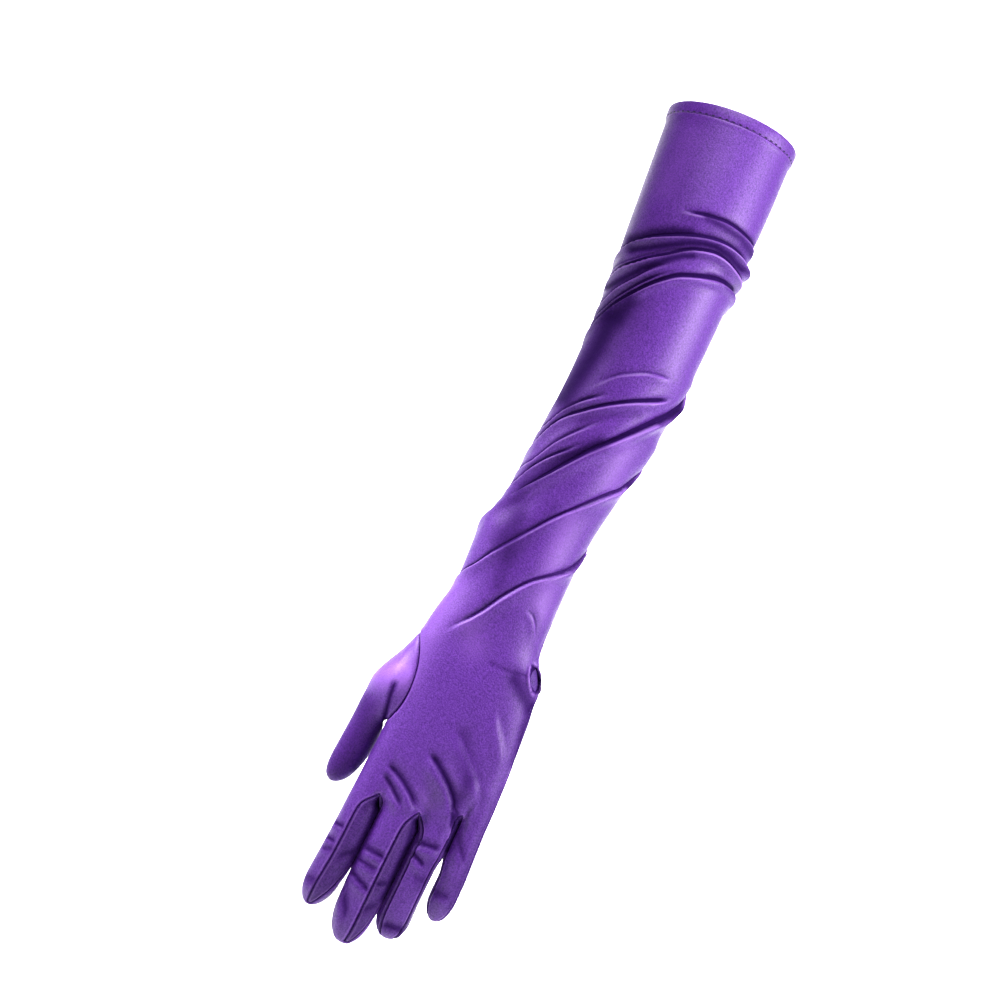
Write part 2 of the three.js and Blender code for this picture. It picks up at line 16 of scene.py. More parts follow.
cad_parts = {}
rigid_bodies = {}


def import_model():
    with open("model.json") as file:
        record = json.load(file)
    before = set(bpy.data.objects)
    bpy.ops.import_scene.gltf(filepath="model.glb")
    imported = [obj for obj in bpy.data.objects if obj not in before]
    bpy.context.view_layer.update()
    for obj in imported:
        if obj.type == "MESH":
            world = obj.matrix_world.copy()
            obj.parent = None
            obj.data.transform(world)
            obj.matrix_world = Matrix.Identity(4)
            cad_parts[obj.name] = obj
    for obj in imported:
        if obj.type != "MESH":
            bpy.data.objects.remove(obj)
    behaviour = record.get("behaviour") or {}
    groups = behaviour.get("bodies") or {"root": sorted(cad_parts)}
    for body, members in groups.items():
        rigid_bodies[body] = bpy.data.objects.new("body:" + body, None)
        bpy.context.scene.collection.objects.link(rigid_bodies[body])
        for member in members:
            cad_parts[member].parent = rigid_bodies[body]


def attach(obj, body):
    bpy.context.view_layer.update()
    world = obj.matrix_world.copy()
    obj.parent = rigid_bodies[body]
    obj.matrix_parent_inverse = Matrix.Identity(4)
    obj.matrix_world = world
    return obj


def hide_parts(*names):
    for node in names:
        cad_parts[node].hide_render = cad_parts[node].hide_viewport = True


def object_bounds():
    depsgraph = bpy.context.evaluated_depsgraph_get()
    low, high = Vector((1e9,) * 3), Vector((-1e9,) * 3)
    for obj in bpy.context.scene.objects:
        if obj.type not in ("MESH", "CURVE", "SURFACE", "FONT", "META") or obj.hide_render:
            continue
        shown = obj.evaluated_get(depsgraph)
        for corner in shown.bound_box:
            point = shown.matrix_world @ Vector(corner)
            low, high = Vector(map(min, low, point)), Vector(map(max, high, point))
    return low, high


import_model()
CAD_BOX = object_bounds()

bl_info = {
    "name": "Satin opera glove",
    "version": (1, 0, 0),
    "blender": (4, 5, 0),
    "location": "3D View > Sidebar > Glove",
    "description": "Builds a long satin opera glove with its folds, seams and stitches",
    "category": "Object",
}

MM = 0.001
BODY = "root"

# The mesh. A unit is one finger's back, palm side or side strip, and ten go round the hand.
UNIT = 16
AROUND = 10 * UNIT
FIRST_DEG = -72.0
INNER_STEP = 4  # the inside face keeps one row and column in this many
STRIPS = ["fourchette_index_middle", "fourchette_middle_ring", "fourchette_ring_little"]
BODY_CLOTH = "sleeve_and_hand"
BODY_NODES = ["sleeve", "hand"]  # the same cloth in the frame, where it is cut at the wrist


class Table:
    """Rows with named columns against a falling height z, read on a smooth curve through them."""

    def __init__(self, names, *rows):
        self.columns = dict(zip(names.split(), np.array(rows, float).T))

    def at(self, z):
        heights = self.columns["z"]
        row = np.clip(np.searchsorted(-heights, -np.asarray(z, float), "right") - 1, 0, len(heights) - 2)
        step = heights[row] - heights[row + 1]
        t = np.clip((heights[row] - z) / step, 0, 1)
        found = {}
        for name, values in self.columns.items():
            slopes = end_to_end_slopes(heights, values)
            found[name] = hermite(values[row], values[row + 1], slopes[row] * step, slopes[row + 1] * step, t)
        return SimpleNamespace(**found)


def rows_of(names, *rows):
    """Rows with named columns."""
    return [SimpleNamespace(**dict(zip(names.split(), row))) for row in rows]


def end_to_end_slopes(places, values):
    """At each row, the slope between its two neighbours, per unit of falling place."""
    before = np.r_[0, np.arange(len(values) - 1)]
    after = np.r_[np.arange(1, len(values)), len(values) - 1]
    return (values[after] - values[before]) / (places[before] - places[after])


def hermite(a, b, slope_a, slope_b, t):
    return (
        (2 * t**3 - 3 * t**2 + 1) * a
        + (t**3 - 2 * t**2 + t) * slope_a
        + (3 * t**2 - 2 * t**3) * b
        + (t**3 - t**2) * slope_b
    )


def lerp(a, b, t):
    return a + (b - a) * t


def smooth(t):
    t = np.clip(t, 0, 1)
    return t * t * (3 - 2 * t)


# Sleeve and hand: outline from left to right seen from the back of the hand, and the depth through.
SECTIONS = Table(
    "z left right y depth square",
    (12, -42, 41.5, 2, 80, 2),
    (-4, -42, 41, 0, 80, 2),
    (-14, -40.5, 41, -2, 79, 2),
    (-50, -36.5, 42.5, -8, 77, 2),
    (-100, -31.5, 43.5, -14, 75, 2),
    (-150, -27, 43.5, -15, 71, 2),
    (-200, -26.5, 40.5, -15, 67, 2),
    (-240, -28, 35, -14.5, 63, 2),
    (-262, -29.4, 32, -14, 60, 2),
    (-272, -32, 31.2, -14, 58.5, 2),
    (-285, -34.8, 30.5, -14, 57, 2),
    (-322, -32.8, 31.5, -13, 50, 2.05),
    (-345, -36.4, 34, -12.5, 45, 2.1),
    (-355, -37.8, 40.2, -12.2, 43, 2.2),
    (-364, -38.8, 43.4, -12, 42, 2.2),
    (-390, -36, 46.5, -11.5, 39, 2.3),
    (-420, -33.5, 49, -11, 35, 2.4),
    (-445, -34, 50.2, -11, 30, 2.5),
    (-470, -34.5, 51, -11, 26, 2.5),
)

# Rows of the mesh: the rise of a row's front, and how much higher its right side is than its middle.
ROW_TILTS = Table(
    "z rise slant",
    (0, 6.5, 3),
    (-60, 6, 4),
    (-86, 5, 10),
    (-115, 3, 20),
    (-160, 1, 38),
    (-216, 0, 50),
    (-262, 0, 44),
    (-316, 0, 22),
    (-348, 0, 4),
    (-362, 0, 0),
    (-470, 0, 0),
)

HEM_HEIGHT = 7.0
THUMB_HOLE = SimpleNamespace(deg=-90, half_deg=36, top=-362, bottom=-420, blend=1.8)
KNUCKLES = -461.0
ROW_BANDS = [(-50, 26), (-128, 104), (-165, 30), (-330, 150), (THUMB_HOLE.top, 24)]
ROWS_BELOW_HOLE = 32

# Index, middle, ring and little finger. root and seams are the degrees of the side strips' edges.
FINGERS = [
    SimpleNamespace(
        crotch=-461, tip=-541.5, round=19, root=(-80, 20, 125, 200), seams=(-80, -14, 95, 200),
        rows=Table(
            "z left right y depth",
            (-461, -34.3, -13.1, -11, 21),
            (-480, -34.5, -13.0, -10.5, 20),
            (-505, -35.4, -13.3, -8, 18.5),
            (-525, -36.6, -15.6, -5, 17.5),
            (-541, -37.2, -18, -2, 16.5),
        ),
    ),
    SimpleNamespace(
        crotch=-461, tip=-553.5, round=22, root=(-60, 30, 125, 235), seams=(-88, 14, 100, 192),
        rows=Table(
            "z left right y depth",
            (-461, -13.0, 13.05, -13, 22),
            (-480, -13.0, 13.05, -12.5, 21),
            (-510, -13.1, 13.0, -9.5, 19.5),
            (-530, -12.2, 12.6, -6, 18.5),
            (-553, -10.5, 12.8, -2.5, 17.5),
        ),
    ),
    SimpleNamespace(
        crotch=-461, tip=-539.5, round=17, root=(-75, 28, 132, 235), seams=(-38, 52, 142, 240),
        rows=Table(
            "z left right y depth",
            (-461, 13, 34.5, -12, 20.5),
            (-478, 13.0, 34.2, -11.5, 20),
            (-490, 13.0, 33.2, -10, 19.5),
            (-512, 13.1, 33.5, -7.5, 18.2),
            (-539, 13.2, 34.4, -2.5, 16.5),
        ),
    ),
    SimpleNamespace(
        crotch=-451, tip=-517.5, round=18, root=(-65, 45, 135, 240), seams=(-62, 45, 135, 222),
        rows=Table(
            "z left right y depth",
            (-451, 33.6, 50.6, -9.5, 18),
            (-466, 33.5, 51.4, -9, 17.5),
            (-477, 34.1, 52.3, -8.5, 17),
            (-490, 36.6, 53.4, -7, 16.5),
            (-517, 36.8, 54, -2, 14.5),
        ),
    ),
]
FINGER_SHAFT_RINGS = 36
FINGER_TIP_RINGS = 14
TIP_ROUNDNESS = 2.2
STRIP_END = 0.973  # the side strips end this share of the way down a finger
CROTCH_SAG = 1.5
CROTCH_PULL = 0.55
ROOT_BLEND = 13.0
STRIP_BLEND = 10.0
KNUCKLE_BLEND = 28.0
SEAM_SETTLE = 0.25
SIDE_NARROWING = 0.7

THUMB_ROWS = [
    # outer x and z, inner x and z, y, depth
    (-43.5, -375, -34.2, -420.5, -8, 29),
    (-50, -391, -33.5, -423.5, -5, 27),
    (-53, -408, -32.9, -429, -1.5, 24),
    (-53.5, -425, -32.9, -437, 1, 21.5),
    (-54.2, -440, -33.8, -446, 2, 20),
    (-54.8, -453, -36, -454.5, 2.5, 17.5),
    (-54.2, -461, -39, -461.5, 3, 14),
    (-52.2, -465.6, -43, -466, 3.2, 8.5),
]
THUMB_TIP = (-48, 3.4, -468)
THUMB_RINGS = 52
THUMB_SEAM_HALF_DEPTH = 14.0

# Folds on the front, as places seen from the back of the hand. left and right are the heights that the
# fold's line reaches behind the glove's two outlines, or None where it dies away in front of them.
# Across a fold, from the cuff's side down: the cloth dips by groove within above, then rolls up into a
# lip whose crest lies below the line by crest, and runs out over reach. dark is how much painted shade
# the cloth takes above the line, and wide over how many millimetres. line is the strength of its thin
# painted dark line, a line of painted shade along the crease.
BEHIND = 130.0
FRONT_FOLDS = rows_of(
    "left right groove lip above crest reach dark wide line path",
    (None, -74, 2.0, 1.7, 1.6, 1.9, 4.0, 0.8, 2.2, None, [(-10, -64.5), (0, -62), (8, -60), (20, -58),
     (32, -58.7), (43, -62.5)]),
    (-116, -88, 3.0, 2.8, 3.2, 1.7, 2.4, 0.85, 3.0, None, [(-30, -96.5), (-20, -87.5), (-10, -82),
     (0, -77.2), (10, -73.2), (20, -70.6), (30, -70), (40, -72.5)]),
    (-124, None, 0.9, 0.9, 1.0, 1.1, 1.5, 0.4, 1.2, None, [(-24, -104), (-12, -95), (-5, -90), (2, -85.5),
     (8, -82.5)]),
    (-134, -96, 2.2, 2.6, 1.3, 1.3, 2.6, 0.6, 1.4, None, [(-27, -111), (-20, -104.3), (-12, -97.5),
     (-5, -92.6), (0, -88.6), (5, -84.8), (10, -82), (20, -78.6), (28, -78.4), (35, -80), (42, -83.5)]),
    (-150, None, 1.4, 1.6, 1.4, 1.3, 2.0, 0.5, 1.8, None, [(-27, -131), (-22, -120.3), (-15, -111),
     (-10, -104.6), (-5, -99.7), (2, -94)]),
    (-158, None, 1.7, 1.5, 1.5, 1.4, 2.2, 0.7, 1.8, None, [(-26, -138), (-18, -123), (-10, -112.5),
     (-3, -105), (5, -98.5)]),
    (-168, -110, 2.5, 2.6, 1.9, 2.0, 3.6, 0.9, 1.9, None, [(-25, -142), (-20, -132), (-15, -124.5),
     (-10, -118), (-5, -112), (0, -107), (5, -102.6), (10, -99.6), (20, -95.2), (30, -91.7), (38, -91),
     (43, -92.5)]),
    (None, None, 0.8, 1.0, 2.0, 2.0, 4.0, 0.2, 2.0, None, [(-12, -185), (0, -171), (5, -167.5), (15, -162),
     (25, -159), (35, -157.5)]),
    (-234, None, 1.7, 1.3, 1.4, 1.5, 3.2, 0.7, 1.8, None, [(-25, -214), (-20, -203), (-15, -196.5),
     (-10, -191.5), (-5, -187.5), (3, -182)]),
    (-248, None, 2.0, 1.6, 1.4, 1.5, 4.0, 0.6, 1.6, None, [(-26, -225), (-20, -211), (-15, -204.5),
     (-10, -200), (-3, -194), (5, -188), (15, -181.5), (25, -176), (38, -167.5)]),
    (-256, None, 1.2, 1.0, 1.2, 1.3, 2.2, 0.5, 1.8, None, [(-24, -239), (-15, -222), (-8, -213), (0, -204),
     (6, -198)]),
    (-272, None, 1.6, 1.2, 1.4, 1.4, 2.4, 0.7, 2.0, None, [(-27, -253), (-20, -239.5), (-15, -232.5),
     (-10, -227), (-5, -222), (3, -213)]),
    (-298, -142, 3.0, 3.2, 2.4, 2.0, 5.0, 0.9, 2.4, None, [(-31, -273), (-25, -262.5), (-20, -254.5),
     (-15, -247.5), (-10, -240.5), (-5, -233.5), (0, -226.5), (5, -219.8), (10, -213.8), (15, -208),
     (20, -202), (25, -196), (30, -190), (35, -184), (40, -177)]),
    (None, None, 1.7, 1.3, 1.4, 1.4, 2.4, 0.8, 2.0, None, [(-21, -273), (-17, -262), (-13, -253),
     (-8, -245)]),
    (-332, -190, 1.9, 1.7, 1.4, 1.5, 4.5, 0.35, 1.1, 0.85, [(-28, -311), (-20, -297.5), (-15, -290.5),
     (-10, -283.5), (-5, -276.5), (0, -269.5), (5, -263), (10, -257), (20, -245.5), (28, -236.5),
     (34, -229.5)]),
    (None, -258, 1.8, 1.6, 1.4, 1.5, 4.5, 0.35, 1.1, 0.85, [(-26, -355), (-20, -346.5), (-15, -340),
     (-10, -332.5), (-5, -323.5), (0, -315.5), (5, -308.5), (10, -303), (20, -294.5), (27, -287)]),
    (None, None, 1.1, 1.1, 1.8, 2.0, 3.6, 0.4, 2.0, None, [(10, -321), (19, -323), (25, -331), (29, -341),
     (32, -350)]),
    (None, None, 1.0, 1.2, 1.3, 1.6, 2.6, 0.4, 1.6, None, [(20, -328), (25, -338), (30, -349)]),
)

# Soft troughs of the front, laid over the folds: how wide, how deep (under 0 for a swelling), and how
# much painted shade they take (under 0 for a painted highlight). Rows with no depth are painted shade
# and painted highlight alone.
TROUGHS = rows_of(
    "wide deep dark path",
    (3.2, 0.4, 0.85, [(-28, -91), (-18, -83), (-8, -77.5), (2, -74)]),
    (2.5, 0.6, 0.95, [(-25, -97.5), (-15, -92.5), (-5, -86), (3, -81), (12, -77), (20, -75), (30, -75.5),
     (40, -78)]),
    (2.3, 0.6, 0.95, [(-28, -123), (-22, -115), (-15, -106.5), (-8, -100), (-2, -94.5), (5, -89),
     (10, -86.5)]),
    (2.0, 0.3, 0.35, [(14, -85), (24, -84), (34, -86)]),
    (3.0, 0.4, 0.75, [(8, -62), (20, -62), (32, -62.5), (43, -66)]),
    (2.2, 0.3, 0.6, [(24, -92.5), (32, -91), (42, -92.5)]),
    (8.0, 0.9, 0.95, [(-18, -140), (-18, -160), (-20, -176), (-23, -196)]),
    (6.0, 0.4, 0.8, [(-12, -128), (-15, -140)]),
    (3.0, 0.5, 0.35, [(-6, -204), (10, -193), (22, -187)]),
    (4.2, 0.6, 0.75, [(-22, -256), (-12, -240), (-2, -224), (8, -212)]),
    (1.9, 0.0, 0.95, [(35, -184), (40, -177), (45, -166), (46.5, -157)]),
    (1.5, 0.0, 0.9, [(36, -227), (40, -219), (42.8, -210), (42.5, -202)]),
    (7.0, 0.5, 0.3, [(-8, -300), (-6, -284), (2, -262)]),
    (1.5, 0.0, 0.6, [(31, -276), (28, -286), (20, -294)]),
    (4.5, 0.3, 0.3, [(-14, -275), (-20, -292)]),
    (5.5, 0.9, 0.75, [(26, -363), (33, -368), (42, -374)]),
    (1.3, 0.4, 0.45, [(8, -360), (20, -359.5), (32, -357.5)]),
    (3.6, 0.2, 0.7, [(44.5, -372), (44, -386), (46.5, -398), (49, -409)]),
    (4.5, 0.6, 0.35, [(12, -405), (19, -416), (26, -430)]),
    (1.7, 0.8, 1.0, [(-38.5, -397), (-38, -404), (-36.5, -412), (-34.5, -421)]),
    (3.6, 0.0, 0.75, [(-36, -424), (-36, -440), (-38, -454)]),
    (9.5, 0.0, 0.6, [(-49, -416), (-46, -430), (-47, -458)]),
    (9.0, -1.6, -0.8, [(-50, -398), (-38, -392)]),
    (9.0, 0.0, -0.45, [(-34, -325), (-34, -360), (-37, -385)]),
    (2.2, 0.0, 0.85, [(9, -466), (11.6, -480), (12.4, -500), (12.6, -518)]),
    (2.2, 0.0, 0.85, [(-16, -467), (-14, -480), (-13.4, -505)]),
    (2.4, 0.0, 0.4, [(-19, -466.5), (-21.5, -472)]),
    (2.0, 0.4, 0.9, [(29, -452), (33.4, -461), (34.2, -474)]),
    (1.1, 0.7, 0.9, [(25.5, -447.5), (28.5, -455), (30, -460)]),
    (1.0, 0.6, 0.7, [(28, -449), (32, -452), (34, -457)]),
    (0.9, -0.8, -0.6, [(27, -450.5), (30.5, -453)]),
    (0.9, -0.6, -0.4, [(29.5, -458), (31.5, -467)]),
    (8.0, 0.3, 0.4, [(-24, -268), (-20, -290)]),
    (6.0, 0.2, 0.45, [(-19, -262), (-14, -280), (-9, -315)]),
    (7.5, 0.0, -0.45, [(12, -262), (15, -290), (22, -318)]),
    (7.0, 0.0, -0.35, [(24, -208), (27, -232)]),
    (8.0, 0.0, -0.22, [(-23, -18), (-23, -56)]),
    (9.0, 0.0, -0.3, [(-13, -344), (-5, -356)]),
    (3.6, -0.3, -0.25, [(12, -428), (20, -433)]),
    (3.6, -0.3, -0.25, [(3, -449), (13, -454)]),
    (3.4, 0.0, 0.4, [(28, -428), (28, -446)]),
    (3.6, 0.0, 0.45, [(50.5, -425), (51.5, -480), (53, -505)]),
    (3.6, 0.0, 0.3, [(29, -484), (29, -502)]),
    (5.0, -3.4, 0.0, [(45, -77), (47, -83)]),
    (4.5, -1.0, 0.0, [(44, -97), (45, -100)]),
    (6.0, -1.8, 0.0, [(45, -156), (46, -168)]),
    (6.5, -2.0, 0.0, [(42, -201), (42, -212)]),
)

# Softer folds round the back of the sleeve and on the palm's side.
BACK_FOLDS = rows_of(
    "groove lip above crest reach dark wide line path",
    (1.2, 1.6, 2.5, 2.4, 5.0, 0.5, 2.4, None, [(118, -86), (150, -92), (192, -104), (232, -124)]),
    (1.4, 1.8, 2.5, 2.4, 5.5, 0.5, 2.4, None, [(128, -104), (165, -112), (205, -128), (246, -147)]),
    (0.8, 1.0, 2.2, 2.2, 5.0, 0.5, 2.4, None, [(140, -124), (180, -137), (222, -158)]),
    (0.8, 1.2, 3.0, 2.8, 6.5, 0.5, 2.4, None, [(120, -146), (160, -172), (200, -198), (240, -222)]),
    (1.3, 1.8, 3.0, 2.6, 7.0, 0.5, 2.4, None, [(130, -186), (170, -214), (214, -246), (262, -274)]),
    (0.9, 1.3, 3.0, 2.6, 6.5, 0.5, 2.4, None, [(118, -232), (160, -262), (206, -290), (250, -310)]),
    (0.7, 0.8, 2.2, 2.2, 4.5, 0.5, 2.4, None, [(140, -322), (180, -331), (222, -338)]),
    (0.8, 0.9, 2.2, 2.2, 4.0, 0.5, 2.4, None, [(128, -340), (176, -349), (226, -352)]),
)

# Creases on the hand and fingers: places seen from the front, on the back of the hand or the palm's side.
HAND_FOLDS = rows_of(
    "groove lip above crest reach dark wide line path",
    (1.9, 1.8, 2.6, 3.2, 6.0, 1.0, 3.2, 0.35, [(-2, -425.5), (5, -428.5), (13, -434), (18, -438),
     (23, -443), (27, -448), (30, -453)]),
    (1.5, 1.4, 2.6, 2.8, 4.0, 0.9, 3.0, 0.35, [(-22, -442), (-12, -446), (-5, -450), (2, -455), (7, -460)]),
    (1.3, 1.2, 2.0, 2.4, 3.4, 0.85, 2.6, 0.35, [(-22, -448), (-14, -453), (-8, -457.5), (-1, -462.5)]),
    (0.6, 1.4, 4.5, 5.0, 7.0, 0.15, 3.0, 0.0, [(6, -404), (20, -414), (34, -428), (42, -440)]),
    (0.3, 1.0, 4.0, 4.0, 6.0, 0.1, 3.0, 0.0, [(22, -381), (33, -394), (44, -409)]),
)
WRINKLE_SPREAD = 1.25  # the wrinkles' reach in the tables is stretched by this
WRINKLE_FADE = 3.0
HAND_FADE = 5.0  # a crease of the hand or a finger dies away over this much at each end

# Short wrinkles across the fingers: from x and z to x and z, how deep, and how far they reach.
FINGER_WRINKLES = [
    (-37, -488.5, -27, -488.5, 1.1, 1.3),
    (-37, -498.5, -28, -499.0, 1.0, 1.2),
    (-36, -505.5, -27, -504.0, 0.8, 1.1),
    (-38, -527, -28, -525.5, 0.7, 2.2),
    (-13, -493.5, 3, -494.5, 1.3, 1.5),
    (-13, -502.5, 2, -503.5, 1.1, 1.2),
    (-14, -510.5, 3, -517, 1.2, 1.4),
    (-12, -523, -2, -539, 0.8, 2.0),
    (14, -477.5, 31, -475.2, 1.5, 1.7),
    (15, -484, 27, -489, 1.3, 1.4),
    (22, -497, 32, -498, 0.5, 2.0),
    (18, -532, 34, -529.5, 0.9, 2.0),
    (35, -463, 48, -477, 0.6, 1.9),
    (37, -501, 49, -499.5, 0.7, 2.2),
    (-25, -507, -14, -498, 0.7, 1.8),
    (3, -512, 12, -508, 0.9, 1.5),
    (3, -530, 12, -522, 0.7, 1.8),
]
PALM_WRINKLES = [
    (-33, -489, -16, -490, 0.6, 1.6),
    (-34, -513, -18, -512, 0.5, 1.4),
    (-10, -492, 10, -494, 0.6, 1.6),
    (-11, -519, 11, -518, 0.5, 1.4),
    (15, -490, 33, -488, 0.6, 1.6),
    (15, -512, 33, -511, 0.5, 1.4),
    (36, -478, 52, -476, 0.6, 1.5),
    (37, -497, 53, -496, 0.5, 1.4),
    (-26, -440, 30, -433, 0.32, 4.0),
    (-6, -414, 40, -424, 0.3, 4.4),
    (-24, -384, -6, -428, 0.35, 4.2),
]

# The narrow pocket at the wrist's outer side, and the seam that runs down the glove's outer side.
SLIT = SimpleNamespace(
    top=(31.4, -348.4), bottom=(41.8, -366.0), behind=-5.0, half_width=4.4, depth=3.4, rim=1.5, rim_width=1.1
)
SIDE_SEAM = Table(
    "z deg",
    (0, 106),
    (-200, 104),
    (-310, 96),
    (-338, 84),
    (-352, 78),
    (-367, 80),
    (-380, 73),
    (-392, 71),
    (-405, 75),
    (-425, 79),
    (-470, 78),
)

WAVE_SLOPE = 0.0078  # at the steepest place of each wave
WAVES = [
    # radians to a mm across, along and through, and the phase
    (0.061, 0.043, 0.050, 0.4),
    (0.102, -0.071, 0.083, 1.9),
    (0.151, 0.117, -0.128, 3.1),
    (-0.23, 0.19, 0.21, 5.2),
]
CLOTH = 1.1  # the inside face lies this far in
HOLLOW = 1.5  # and this much farther away from the seams, where folds dip in
DEEPEST = -2.1  # no fold dips farther than this
HEM_PROUD = 0.35
HEM_SWELL = 0.25
HEM_PULL = 0.1  # the hem's stitches draw it in and out by this much
HEM_PULLS = 58
SEAM_GAP = 0.1
SEAM_DIP = 0.55
SEAM_DIP_WIDTH = 0.7
SEAM_ROLL = 0.4
SEAM_ROLL_PLACE = 1.5  # from the seam
SEAM_ROLL_WIDTH = 0.8
PUCKER = 0.11
PUCKER_PITCH = 2.6
PUCKER_REACH = 2.2


def on_oval(section, deg, power=2.0):
    """A place across and through a section, for degrees round it."""
    s, c = np.sin(np.radians(deg)), np.cos(np.radians(deg))
    x = (section.left + section.right) / 2 + (section.right - section.left) / 2 * bent(s, power)
    return x, section.y - section.depth / 2 * bent(c, power)


def bent(v, power):
    return np.sign(v) * np.abs(v) ** (2 / power)


def column_deg(column):
    return FIRST_DEG + 360 * column / AROUND


def finger_deg(index, segment, share, along):
    """Where a column lies round a finger. The side strips narrow towards the fingertip."""
    finger = FINGERS[index]
    settled = 1 - (1 - np.clip(along / SEAM_SETTLE, 0, 1)) ** 3
    a, b, c, d = (lerp(root, seam, settled) for root, seam in zip(finger.root, finger.seams))
    narrow = 1 - SIDE_NARROWING * np.clip(along, 0, 1) ** 2
    if index != 3:
        c = b + (c - b) * narrow
    if index != 0:
        d = a + 360 - (a + 360 - d) * narrow
    corners = [a, b, c, d, a + 360]
    return lerp(corners[segment], corners[segment + 1], share)


def finger_section(finger, z):
    row = finger.rows.at(z)
    into = np.clip((finger.tip + finger.round - z) / finger.round, 0, 1)
    taper = np.sqrt(np.maximum(0, 1 - into**TIP_ROUNDNESS))
    middle = (row.left + row.right) / 2
    return SimpleNamespace(
        left=lerp(middle, row.left, taper),
        right=lerp(middle, row.right, taper),
        y=row.y,
        depth=row.depth * taper,
    )


def knuckle_height(column):
    """Height of the hand's lowest row: the little finger's crotch lies higher."""
    unit = column / UNIT
    to_little = np.minimum(np.clip(unit - 2, 0, 1), np.clip(7 - unit, 0, 1))
    return lerp(FINGERS[0].crotch, FINGERS[3].crotch, smooth(to_little))


def finger_root_places():
    """Where each column of the hand meets the fingers: half way between two of them at a crotch."""
    def segment_of(unit):
        if unit < 4:
            return unit, 0
        if unit == 4:
            return 3, 1
        return (8 - unit, 2) if unit < 9 else (0, 3)

    places = []
    for column in range(AROUND):
        unit, rest = divmod(column, UNIT)
        ends = [(segment_of(unit), rest / UNIT)]
        if rest == 0:
            ends.append((segment_of((unit + 9) % 10), 1.0))
        found = []
        for (index, segment), share in ends:
            finger = FINGERS[index]
            section = finger_section(finger, finger.crotch)
            found.append(on_oval(section, finger_deg(index, segment, share, 0.0)))
        places.append(np.mean(found, axis=0))
    return np.array(places)


def round_thumb_hole(deg, z):
    """Draws the square block of the mesh round the thumb's hole onto its oval seam."""
    middle = (THUMB_HOLE.top + THUMB_HOLE.bottom) / 2
    half = (THUMB_HOLE.top - THUMB_HOLE.bottom) / 2
    p = ((deg - THUMB_HOLE.deg + 540) % 360 - 180) / THUMB_HOLE.half_deg
    q = (z - middle) / half
    m = np.maximum(np.abs(p), np.abs(q))
    to_oval = m / np.maximum(np.hypot(p, q), 1e-9)
    k = lerp(to_oval, 1.0, smooth((m - 1) / (THUMB_HOLE.blend - 1)))
    near = (m < THUMB_HOLE.blend) & (m > 0)
    return (
        np.where(near, THUMB_HOLE.deg + p * k * THUMB_HOLE.half_deg, deg),
        np.where(near, middle + q * k * half, z),
    )


def row_heights():
    heights = [-HEM_HEIGHT]
    for bottom, count in [*ROW_BANDS, (THUMB_HOLE.bottom, 2 * UNIT), (KNUCKLES, ROWS_BELOW_HOLE)]:
        heights += list(np.linspace(heights[-1], bottom, count + 1)[1:])
    return np.array(heights)


def sleeve_places(heights):
    """Places of the sleeve and hand, a row for each height and a column for each of AROUND."""
    columns = np.arange(AROUND)[None, :]
    heights = np.asarray(heights, float)[:, None]
    tilt = ROW_TILTS.at(heights)
    deg = column_deg(columns) + 0 * heights
    z = heights + tilt.rise * np.cos(np.radians(deg)) + tilt.slant * np.sin(np.radians(deg))
    low = np.clip((THUMB_HOLE.bottom - heights) / (THUMB_HOLE.bottom - KNUCKLES), 0, 1)
    z = z + low * (knuckle_height(columns) - KNUCKLES)
    deg, z = round_thumb_hole(deg, z)
    section = SECTIONS.at(z)
    x, y = on_oval(section, deg, section.square)
    turn = CROTCH_PULL * smooth((KNUCKLES + KNUCKLE_BLEND - heights) / KNUCKLE_BLEND)
    roots = finger_root_places()
    points = np.stack([lerp(x, roots[:, 0], turn), lerp(y, roots[:, 1], turn), z], axis=-1)
    radius = (section.right - section.left + section.depth) / 4
    return points, deg, radius


class Cloth:
    """The whole glove's outer face: points, and grids of them that each belong to a cloth piece."""

    def __init__(self):
        self.points = np.zeros((0, 3))
        self.grids = []

    def add(self, points):
        ids = np.arange(len(self.points), len(self.points) + points[..., 0].size)
        self.points = np.vstack([self.points, points.reshape(-1, 3)])
        return ids.reshape(points.shape[:-1])

    def grid(self, piece, ids, across, along):
        """A grid of point ids, rows from the cuff down, with the cloth's own coordinates in mm."""
        self.grids.append(SimpleNamespace(piece=piece, ids=ids, across=across, along=along))

    def faces(self, piece, step=1):
        """Corner ids and cloth coordinates of a piece's faces, every row and column or one in step."""
        corners, coordinates = [], []
        for grid in self.grids:
            if grid.piece != piece:
                continue
            rows = every(grid.ids.shape[0], step)
            columns = every(grid.ids.shape[1], step)
            cut = np.ix_(rows, columns)
            ids = grid.ids[cut]
            uv = np.stack([grid.across[cut], grid.along[cut]], axis=-1)
            corners.append(quads_of(ids).reshape(-1, 4))
            coordinates.append(quads_of(uv).reshape(-1, 4, 2))
        return np.vstack(corners), np.vstack(coordinates)


def every(count, step):
    kept = list(range(0, count, step))
    return kept if kept[-1] == count - 1 else kept + [count - 1]


def quads_of(grid):
    """The four corners of each cell of a grid, seen from outside."""
    return np.stack([grid[:-1, :-1], grid[1:, :-1], grid[1:, 1:], grid[:-1, 1:]], axis=2)


def closed(grid):
    """A ring's columns with the first one again at the end."""
    return np.concatenate([grid, grid[:, :1]], axis=1)


